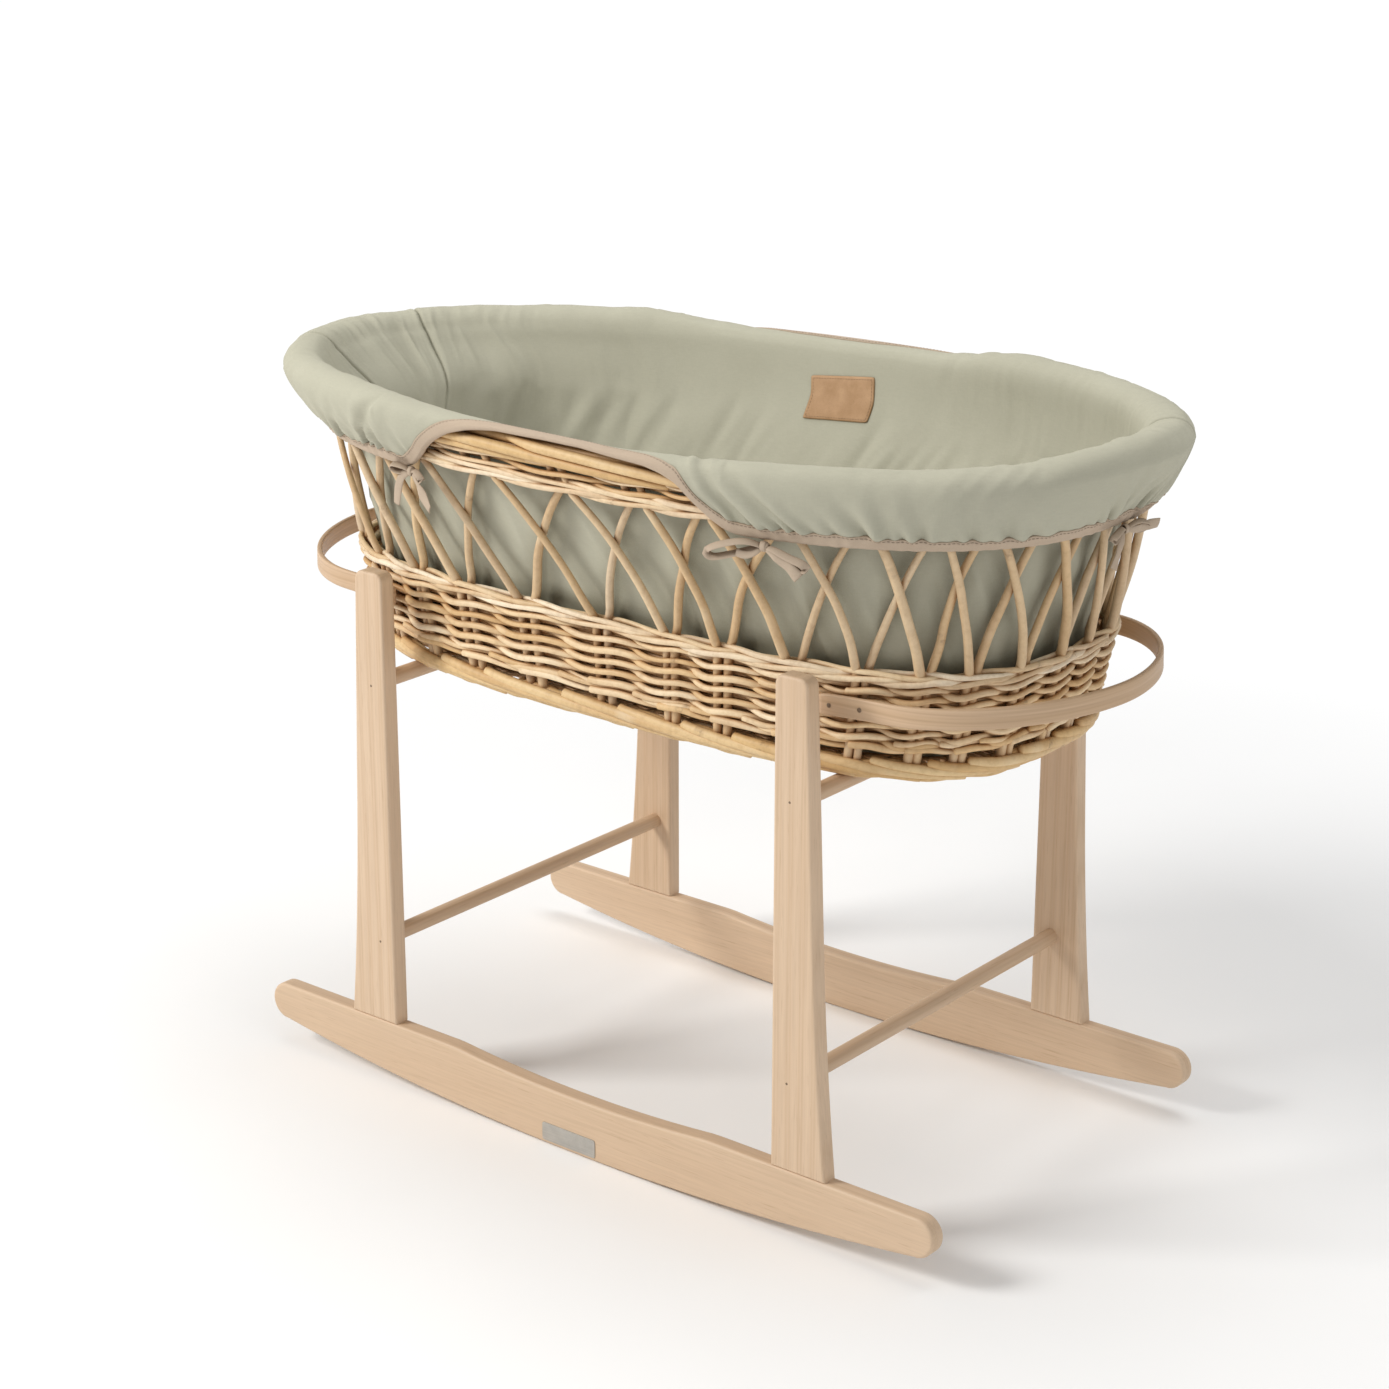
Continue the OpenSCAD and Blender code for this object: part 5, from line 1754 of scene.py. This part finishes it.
# name, (turn, z, out), lean in radians, how far up-facing loops also face out, loops, tails
BOWS = [
    ("bow_front_left", (0.6705, 641.5, 8.5), -0.10, 0.6,
     [SMALL_LEFT_LOOP,
      ([(9, 4, 4), (18, 2, 6), (21, -2, 5), (15, -4.5, 2), (7, -3, 0)], LOOP_WIDTHS)],
     [([(-3, -1, 1), (-12, -8, 2.5), (-16, -20, 3), (-17, -36, 3.5)],
       [5, 9.5, 10, 10], [0, 6, -4, 8]),
      ([(2, -1, 1.5), (12, -7, 4), (24, -15, 6), (38, -25, 8)],
       [5, 8.5, 9.5, 10.5], [0, 24, -16, 20])]),
    ("bow_front_right", (0.8520, 639.0, 9.5), -0.04, 0.75,
     [([(-16, 3.5, 5), (-36, -1.5, 7), (-50, -9, 6), (-46, -15, 4), (-28, -10, 2),
        (-10, -3, 0)], [5, 7, 8, 8, 8, 7, 4]),
      ([(10, 0, 4), (24, -4, 6), (38, -8, 6), (40, -13, 4), (28, -11, 2), (10, -4, 0)],
       [4, 7, 8, 8, 7, 4])],
     [([(2, -1, 2), (14, -5, 6), (26, -12, 7), (36, -20, 7)],
       [5, 9, 10, 10.5], [0, -18, 10, -22]),
      ([(-2, -1, 1), (-8, -6, 3), (-16, -9, 4), (-24, -8, 4)],
       [4, 6, 7, 7], [0, 25, 10, 0])]),
    ("bow_right_end", (1.0040, 640.0, 9.5), 0.0, 0.6,
     [([(-12, 3.5, 5), (-25, 1, 7), (-30, -3.5, 6), (-22, -6.5, 3), (-10, -3.5, 0)],
       LOOP_WIDTHS),
      ([(12, 5, 5), (24, 3, 7), (29, -1, 6), (21, -4.5, 3), (9, -3, 0)], LOOP_WIDTHS)],
     [([(2, -1, 2), (14, -2, 6), (28, -1, 8), (44, -3, 8)],
       [5, 8, 9, 9], [0, 20, -10, 14]),
      ([(-2, -1, 1), (-9, -9, 3), (-15, -20, 3.5), (-21, -31, 3.5)],
       [5, 8, 9, 9], [0, 14, -8, 12])]),
    ("bow_back_right", (0.1755, 641.5, 8.5), 0.06, 0.6,
     [SMALL_LEFT_LOOP,
      ([(10, 4, 4), (22, 2, 6), (26, -2, 5), (19, -5.5, 2), (8, -3, 0)], LOOP_WIDTHS)],
     [([(-3, -1, 1), (-7, -9, 2.5), (-12, -20, 3), (-15, -33, 3.5)],
       [5, 8.5, 9, 9], [0, -10, 6, -12]),
      ([(2, -1, 1.5), (7, -9, 4), (12, -18, 5), (15, -30, 5)],
       [5, 8.5, 9, 9], [0, 16, -10, 12])]),
    ("bow_back_left", (0.3525, 640.0, 9.0), -0.05, 0.6,
     [([(-12, 3, 5), (-26, 0, 7), (-31, -4.5, 6), (-23, -7.5, 3), (-9, -3, 0)], LOOP_WIDTHS),
      ([(10, 4, 4), (21, 2.5, 6), (25, -1.5, 5), (18, -4.5, 2), (8, -3, 0)], LOOP_WIDTHS)],
     [([(-3, -1, 1), (-9, -7, 3), (-18, -14, 4), (-25, -25, 4)],
       [5, 8.5, 9, 9.5], [0, 18, -8, 16]),
      ([(2, -1, 1.5), (5, -9, 3), (6, -20, 3.5), (8, -32, 3.5)],
       [5, 8.5, 9, 9], [0, -12, 8, -10])]),
    ("bow_left_end", (0.4960, 640.0, 9.0), 0.04, 0.6,
     [([(-11, 3.5, 5), (-24, 2, 7), (-29, -2.5, 6), (-21, -5.5, 3), (-9, -3, 0)],
       LOOP_WIDTHS),
      ([(11, 4, 4), (23, 1.5, 6), (28, -2.5, 5), (20, -5.5, 2), (8, -3, 0)], LOOP_WIDTHS)],
     [([(-3, -1, 1), (-6, -10, 3), (-10, -20, 4), (-11, -33, 4)],
       [5, 8.5, 9, 9.5], [0, 14, -8, 12]),
      ([(2, -1, 1.5), (8, -8, 3), (13, -18, 3.5), (19, -28, 3.5)],
       [5, 8.5, 9, 9], [0, -14, 8, -12])]),
]
# ribbon outline: across as a part of the half width, thickness in mm
RIBBON_OUTLINE = np.array(
    [(-1, -0.18), (-0.93, -0.45), (-0.5, -0.45), (0, -0.45), (0.5, -0.45), (0.93, -0.45),
     (1, -0.18), (1, 0.18), (0.93, 0.45), (0.5, 0.45), (0, 0.45), (-0.5, 0.45), (-0.93, 0.45),
     (-1, 0.18)])
RIBBON_CUP = 0.6
KNOT_OUTLINE = [(-0.4, -2.6), (0.35, -2.7), (0.75, -1.5), (0.85, 0.0), (0.75, 1.5),
                (0.35, 2.7), (-0.4, 2.6), (-0.8, 0.0)]


def ribbon(parts, points, widths, face, twists=(0, 0)):
    """A flat ribbon along smooth points; its broad side looks towards face."""
    count = 30
    t = np.linspace(0, 1, count)

    def spread(values):
        return np.interp(t, np.linspace(0, 1, len(values)), values)[:, None]

    path = catmull(points, np.linspace(0, len(points) - 1, count))
    tangent = unit(np.gradient(path, axis=0))
    thick = square_to(tangent, face)
    wide = np.cross(tangent, thick)
    angle = np.radians(spread(twists))
    thick, wide = (thick * np.cos(angle) + wide * np.sin(angle),
                   wide * np.cos(angle) - thick * np.sin(angle))
    outline = np.repeat(RIBBON_OUTLINE[None], count, 0)
    outline[:, :, 1] -= RIBBON_CUP * outline[:, :, 0] ** 2
    outline[:, :, 0] *= spread(widths) / 2
    parts.section(path, outline, wide, thick)


def bow(name, place, lean, facing, loops, tails):
    knot = wall_at(*place)
    outward = wall_out(*place[:2])
    upward = np.array([0, 0, 1.0])
    right = np.cross(upward, outward)
    cos, sin = math.cos(lean), math.sin(lean)
    right, upward = right * cos + upward * sin, upward * cos - right * sin

    def placed(points):
        points = np.asarray(points, float)
        return knot + points[:, :1] * right + points[:, 1:2] * upward + points[:, 2:3] * outward

    parts = Parts()
    for points, widths in loops:
        ribbon(parts, placed([(0, 0, 0), *points, (0, -0.5, 0)]), widths,
               upward + facing * outward)
    for points, widths, twists in tails:
        ribbon(parts, placed(points), widths, outward, twists)
    # the knot: ribbon wrapped twice round the middle, as (degrees, radius, shift right)
    angle = np.radians(np.linspace(0, 360, 28, endpoint=False))[:, None]
    for degrees, radius, shift in ((0.0, 3.1, 0.0), (25.0, 2.7, 1.2)):
        tilt = math.radians(degrees)
        axis = upward * math.cos(tilt) + right * math.sin(tilt)
        spoke = np.cos(angle) * axis * 1.25 + np.sin(angle) * outward
        ring = knot + (shift - 0.4) * right + radius * spoke
        across = np.broadcast_to(np.cross(axis, outward), ring.shape)
        parts.section(ring, KNOT_OUTLINE, unit(spoke), across, closed=True)
    ob = parts.build(name, "basket", TAPE, ["ribbon_ties"] if name == "bow_front_left" else (),
                     "tape_cotton")
    face_outward(ob)


for entry in BOWS:
    bow(*entry)

# --------------------------------------------------------------------------
# blank leather label, stitched to the liner's back wall
# --------------------------------------------------------------------------
LABEL_WIDTH, LABEL_HEIGHT = 76.0, 44.0
LABEL_CORNER, STITCH_INSET, STITCH_PITCH = 2.2, 2.6, 3.1
# (turn, z) of the corners, as seen from inside the basket
LABEL_TOP_LEFT, LABEL_TOP_RIGHT = (0.27420, 669.6), (0.23920, 677.0)
LABEL_LOW_LEFT, LABEL_LOW_RIGHT = (0.27805, 628.0), (0.24215, 633.9)


def cloth_finder():
    """A function giving points over the liner's inner skin from label coordinates."""
    mesh = LINER.data
    tree = BVHTree.FromPolygons([v.co for v in mesh.vertices],
                                [tuple(p.vertices) for p in mesh.polygons])

    def on_cloth(x, y, out):
        """x and y are from the label's centre; out is off the cloth, negative inwards."""
        x, y, out = np.broadcast_arrays(x, y, np.asarray(out, float))
        a, b = x / LABEL_WIDTH + 0.5, y / LABEL_HEIGHT + 0.5
        turn, z = [(1 - a) * (1 - b) * LABEL_LOW_LEFT[k] + a * (1 - b) * LABEL_LOW_RIGHT[k]
                   + (1 - a) * b * LABEL_TOP_LEFT[k] + a * b * LABEL_TOP_RIGHT[k]
                   for k in (0, 1)]
        start = wall_at(turn, z, -60.0)
        direction = wall_out(turn, z)
        points = np.empty(start.shape)
        for i in np.ndindex(a.shape):
            hit = tree.ray_cast(Vector(start[i] * MM), Vector(direction[i]), 0.12)
            depth = 37.0 if hit[0] is None else hit[3] / MM
            points[i] = start[i] + direction[i] * (depth + out[i])
        return points

    return on_cloth


def label_patch(on_cloth):
    columns, rows = 41, 25
    half_x, half_y = LABEL_WIDTH / 2, LABEL_HEIGHT / 2
    a, b = np.meshgrid(np.linspace(0, 1, columns), np.linspace(0, 1, rows), indexing="ij")
    x, y = (a - 0.5) * LABEL_WIDTH, (b - 0.5) * LABEL_HEIGHT
    # pull the corners in to a small radius
    flat_x, flat_y = half_x - LABEL_CORNER, half_y - LABEL_CORNER
    over_x, over_y = np.maximum(np.abs(x) - flat_x, 0), np.maximum(np.abs(y) - flat_y, 0)
    over = np.hypot(over_x, over_y)
    pull = np.where(over > LABEL_CORNER, LABEL_CORNER / np.maximum(over, 1e-9), 1)
    x = np.sign(x) * (np.minimum(np.abs(x), flat_x) + over_x * pull)
    y = np.sign(y) * (np.minimum(np.abs(y), flat_y) + over_y * pull)
    # thinner at the edge, pressed in along the stitches
    inset = np.minimum(half_x - np.abs(x), half_y - np.abs(y))
    thick = (1.35 * (1 - 0.45 * np.exp(-(inset / 0.9) ** 2))
             - 0.22 * np.exp(-((inset - STITCH_INSET) / 0.5) ** 2))
    faces = [on_cloth(x, y, -0.35 - thick), on_cloth(x, y, -0.05)]
    for face in faces:              # the leather bridges the small folds
        for _ in range(6):
            face[1:-1] = 0.25 * face[:-2] + 0.5 * face[1:-1] + 0.25 * face[2:]
            face[:, 1:-1] = 0.25 * face[:, :-2] + 0.5 * face[:, 1:-1] + 0.25 * face[:, 2:]
    verts = np.concatenate([face.reshape(-1, 3) for face in faces])
    index = numbered(columns, rows)
    top = grid_quads(index)
    border = np.concatenate([index[:-1, 0], index[-1, :-1], index[:0:-1, -1], index[0, :0:-1]])
    after = np.roll(border, -1)
    rim = np.stack([border, border + index.size, after + index.size, after], -1)
    ob = make_mesh("leather_label", verts, np.vstack([top, top[:, ::-1] + index.size, rim]))
    face_outward(ob)
    dress(ob, "basket", LEATHER, ["label_patch"], "label_leather")


def label_stitches(on_cloth):
    """Saddle stitch just inside the edge."""
    x, y = LABEL_WIDTH / 2 - STITCH_INSET, LABEL_HEIGHT / 2 - STITCH_INSET
    corners = [(-x, -y), (x, -y), (x, y), (-x, y)]
    along = np.array([0, 0.2, 0.5, 0.8, 1])
    lift = np.array([0.9, 1.35, 1.5, 1.35, 0.9])
    parts = Parts()
    for (x0, y0), (x1, y1) in zip(corners, corners[1:] + corners[:1]):
        count = int(math.hypot(x1 - x0, y1 - y0) / STITCH_PITCH)
        for i in range(count):
            part = (i + 0.14 + 0.72 * along) / count
            path = on_cloth(x0 + (x1 - x0) * part, y0 + (y1 - y0) * part, -0.15 - lift)
            parts.tube(path, 0.24, (0, 0, 1), sides=6, rounded=False)
    parts.build("label_stitches", "basket", LABEL_THREAD, (), "label_leather")


LABEL_THREAD = cloth_material("label_thread", light=(0.30, 0.19, 0.11),
                              dark=(0.20, 0.12, 0.06), pitch=0.0004, fuzz=0.1)
on_liner = cloth_finder()
label_patch(on_liner)
label_stitches(on_liner)

# --------------------------------------------------------------------------
# mattress
# --------------------------------------------------------------------------
PAD_HALF_X, PAD_HALF_Y, PAD_POWER = 345.0, 154.0, 2.9
PAD_BOTTOM, PAD_TOP, PAD_POINTS = 441.8, 485.4, 260


def pad_outline():
    """x, y and outward direction at even steps round the pad."""
    x, y = superellipse(PAD_HALF_X, PAD_HALF_Y, PAD_POWER, np.linspace(0, TAU, 7201))
    length = arc_length(np.stack([x, y], 1))
    even = np.arange(PAD_POINTS) / PAD_POINTS * length[-1]
    x, y = np.interp(even, length, x), np.interp(even, length, y)
    out_x = np.roll(y, -1) - np.roll(y, 1)
    out_y = -(np.roll(x, -1) - np.roll(x, 1))
    size = np.hypot(out_x, out_y)
    return x, y, out_x / size, out_y / size


PAD_X, PAD_Y, PAD_OUT_X, PAD_OUT_Y = pad_outline()


def pad_ring(inset, z):
    return np.stack([PAD_X - PAD_OUT_X * inset, PAD_Y - PAD_OUT_Y * inset,
                     np.full(PAD_POINTS, z)], 1)


def plump(ob):
    """Remeshes the pad evenly and inflates it with a cloth pass."""
    remesh = ob.modifiers.new("rm", "REMESH")
    remesh.mode = "VOXEL"
    remesh.voxel_size = 0.006
    apply_modifiers(ob)
    rest = read_points(ob.data)
    group = ob.vertex_groups.new(name="pin")
    base = [int(i) for i in np.nonzero(rest[:, 2] < (PAD_BOTTOM + 5) * MM)[0]]
    group.add(base, 1.0, "REPLACE")
    move = simulate_cloth(
        ob, frames=16, cache_end=21, quality=5, mass=0.3, tension_stiffness=18,
        compression_stiffness=14, shear_stiffness=8, bending_stiffness=0.6,
        uniform_pressure_force=4.0, shrink_min=-0.02) - rest
    # the wall of the basket holds the sides; the top may rise a little
    side = 1 - smooth01((rest[:, 2] - (PAD_TOP - 12) * MM) / (10 * MM))
    limit = (1.2 * side + 7.0 * (1 - side)) * MM
    size = np.linalg.norm(move, axis=1)
    move *= np.minimum(1.0, limit / np.maximum(size, 1e-9))[:, None]
    points = rest + move
    points[:, 2] = np.minimum(points[:, 2], 0.4925)
    ob.data.vertices.foreach_set("co", points.astype(np.float32).ravel())
    ob.data.update()
    subdivision = ob.modifiers.new("sub", "SUBSURF")
    subdivision.levels = subdivision.render_levels = 1
    apply_modifiers(ob)
    for polygon in ob.data.polygons:
        polygon.use_smooth = True


def mattress_pad():
    low, high = PAD_BOTTOM, PAD_TOP
    side = [pad_ring(5.0, low), pad_ring(3.2, low + 2.2), pad_ring(2.2, low + 5)]
    side += [pad_ring(2.2 - 0.8 * math.sin(math.pi * f), low + 5 + f * (high - low - 11))
             for f in np.linspace(0.1, 0.9, 8)]
    side += [pad_ring(2.4, high - 6), pad_ring(3.6, high - 2.6), pad_ring(6.0, high - 0.9)]
    top = [side[-1] * [f, f, 0] + [0, 0, high - 0.9 + 3.2 * (1 - f ** 3.2)]
           for f in np.linspace(0.94, 0.06, 26)]
    bottom = [side[0] * [f, f, 0] + [0, 0, low] for f in np.linspace(0.94, 0.06, 14)]
    rings = np.array(bottom[::-1] + side + top)
    index = numbered(*rings.shape[:2])
    verts = np.vstack([rings.reshape(-1, 3), rings[0].mean(0), rings[-1].mean(0)])
    ob = make_mesh("mattress_pad", verts, ring_quads(index), end_fans(index))
    face_outward(ob)
    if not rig.quick():
        plump(ob)
    dress(ob, "mattress", MATTRESS_COTTON, ["mattress"], "mattress_cotton")


def mattress_piping():
    parts = Parts()
    outward = np.stack([PAD_OUT_X, PAD_OUT_Y, np.zeros(PAD_POINTS)], 1)
    for inset, z in ((2.1, PAD_TOP - 2.2), (1.8, PAD_BOTTOM + 3.4)):
        path = pad_ring(inset, z)
        path[:, 2] += 0.25 * np.sin(np.arange(PAD_POINTS) * 0.9)
        parts.loop(path, 1.9, outward, sides=12)
    parts.build("mattress_piping", "mattress", MATTRESS_COTTON, (), "mattress_cotton")


mattress_pad()
mattress_piping()


# --------------------------------------------------------------------------
# floor, light, camera (metres)
# --------------------------------------------------------------------------
def studio_floor():
    half = 14.0
    mesh = bpy.data.meshes.new("studio_floor")
    mesh.from_pydata([(-half, -half, 0), (half, -half, 0), (half, half, 0), (-half, half, 0)],
                     [], [(0, 1, 2, 3)])
    ob = link(bpy.data.objects.new("studio_floor", mesh))
    ob.location = (0, 0, -0.0004)
    mat = Surface("studio_floor")
    patches = mat.noise(mat.coords(), scale=2, detail=3.0)
    mat.finish({"Base Color": mat.ramp(patches, (0.3, (0.93, 0.93, 0.928)),
                                       (0.7, (0.96, 0.96, 0.958))),
                "Roughness": 0.75, "Specular IOR Level": 0.1})
    # away from the middle the floor passes into plain glowing white
    glow = mat.node("Emission", {"Color": (1.0, 1.0, 1.0), "Strength": 1.02})
    distance = mat.node("VectorMath", {0: mat.coords()}, operation="LENGTH").outputs["Value"]
    blend = mat.node("MixShader", {0: mat.remap(distance, between=(0.75, 1.55)),
                                   1: mat.shader.outputs[0], 2: glow.outputs[0]})
    mat.put(mat.output, blend.outputs[0])
    mesh.materials.append(mat.material)
    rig.stage(ob)


def studio_world():
    world = bpy.data.worlds.new("studio")
    bpy.context.scene.world = world
    graph = Graph(world)
    ambient = graph.tree.nodes["Background"]
    graph.put(ambient.inputs["Color"], (1.0, 1.0, 1.0))
    graph.put(ambient.inputs["Strength"], 0.44)
    # what the camera sees behind the object is plain white
    white = graph.node("Background", {"Color": (1.0, 1.0, 1.0), "Strength": 1.05})
    camera_ray = graph.node("LightPath").outputs["Is Camera Ray"]
    blend = graph.node("MixShader", {0: camera_ray, 1: ambient.outputs[0],
                                     2: white.outputs[0]})
    graph.put(graph.tree.nodes["World Output"].inputs["Surface"], blend.outputs[0])
    bpy.context.scene.view_settings.view_transform = "Standard"
    bpy.context.scene.view_settings.look = "None"


def aim(ob, location, target):
    ob.location = location
    direction = Vector(target) - Vector(location)
    ob.rotation_euler = direction.to_track_quat("-Z", "Y").to_euler()


def area_light(name, location, target, size, power, colour=(1, 1, 1)):
    light = bpy.data.lights.new(name, "AREA")
    light.shape = "RECTANGLE"
    light.size, light.size_y = size
    light.energy = power
    light.color = colour
    aim(link(bpy.data.objects.new(name, light)), location, target)


def camera():
    azimuth, elevation, distance = math.radians(39.0), math.radians(18.56), 2.8504
    target = Vector((-0.0306, -0.00325, 0.3968))
    view = bpy.data.cameras.new("view")
    ob = link(bpy.data.objects.new("view", view))
    direction = Vector((math.sin(azimuth) * math.cos(elevation),
                        -math.cos(azimuth) * math.cos(elevation), math.sin(elevation)))
    location = target + distance * direction
    ob.location = location
    ob.rotation_euler = (target - ob.location).to_track_quat("-Z", "Y").to_euler()
    view.sensor_width = 36.0
    view.sensor_fit = "HORIZONTAL"
    view.lens = 76.374946
    view.clip_end = 50
    bpy.context.scene.camera = ob


studio_floor()
studio_world()
area_light("key", location=(-2.3, -2.7, 2.7), target=(0, 0, 0.45), size=(1.3, 1.3), power=122,
           colour=(1.0, 0.99, 0.97))
area_light("top", location=(0.1, 0.5, 3.2), target=(0, 0, 0.4), size=(2.2, 1.8), power=36)
area_light("fill", location=(3.2, -0.8, 1.5), target=(0, 0, 0.4), size=(1.6, 1.6), power=8,
           colour=(0.98, 0.99, 1.0))
camera()


def corners(box):
    return [[float(x) for x in corner] for corner in box]


# the sizes are left out where the work folder is missing or can't be written
try:
    with open("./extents.json", "w") as fh:
        json.dump({"cad_box": corners(CAD_BOX), "visual_box": corners(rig.bounds())}, fh)
except OSError:
    pass
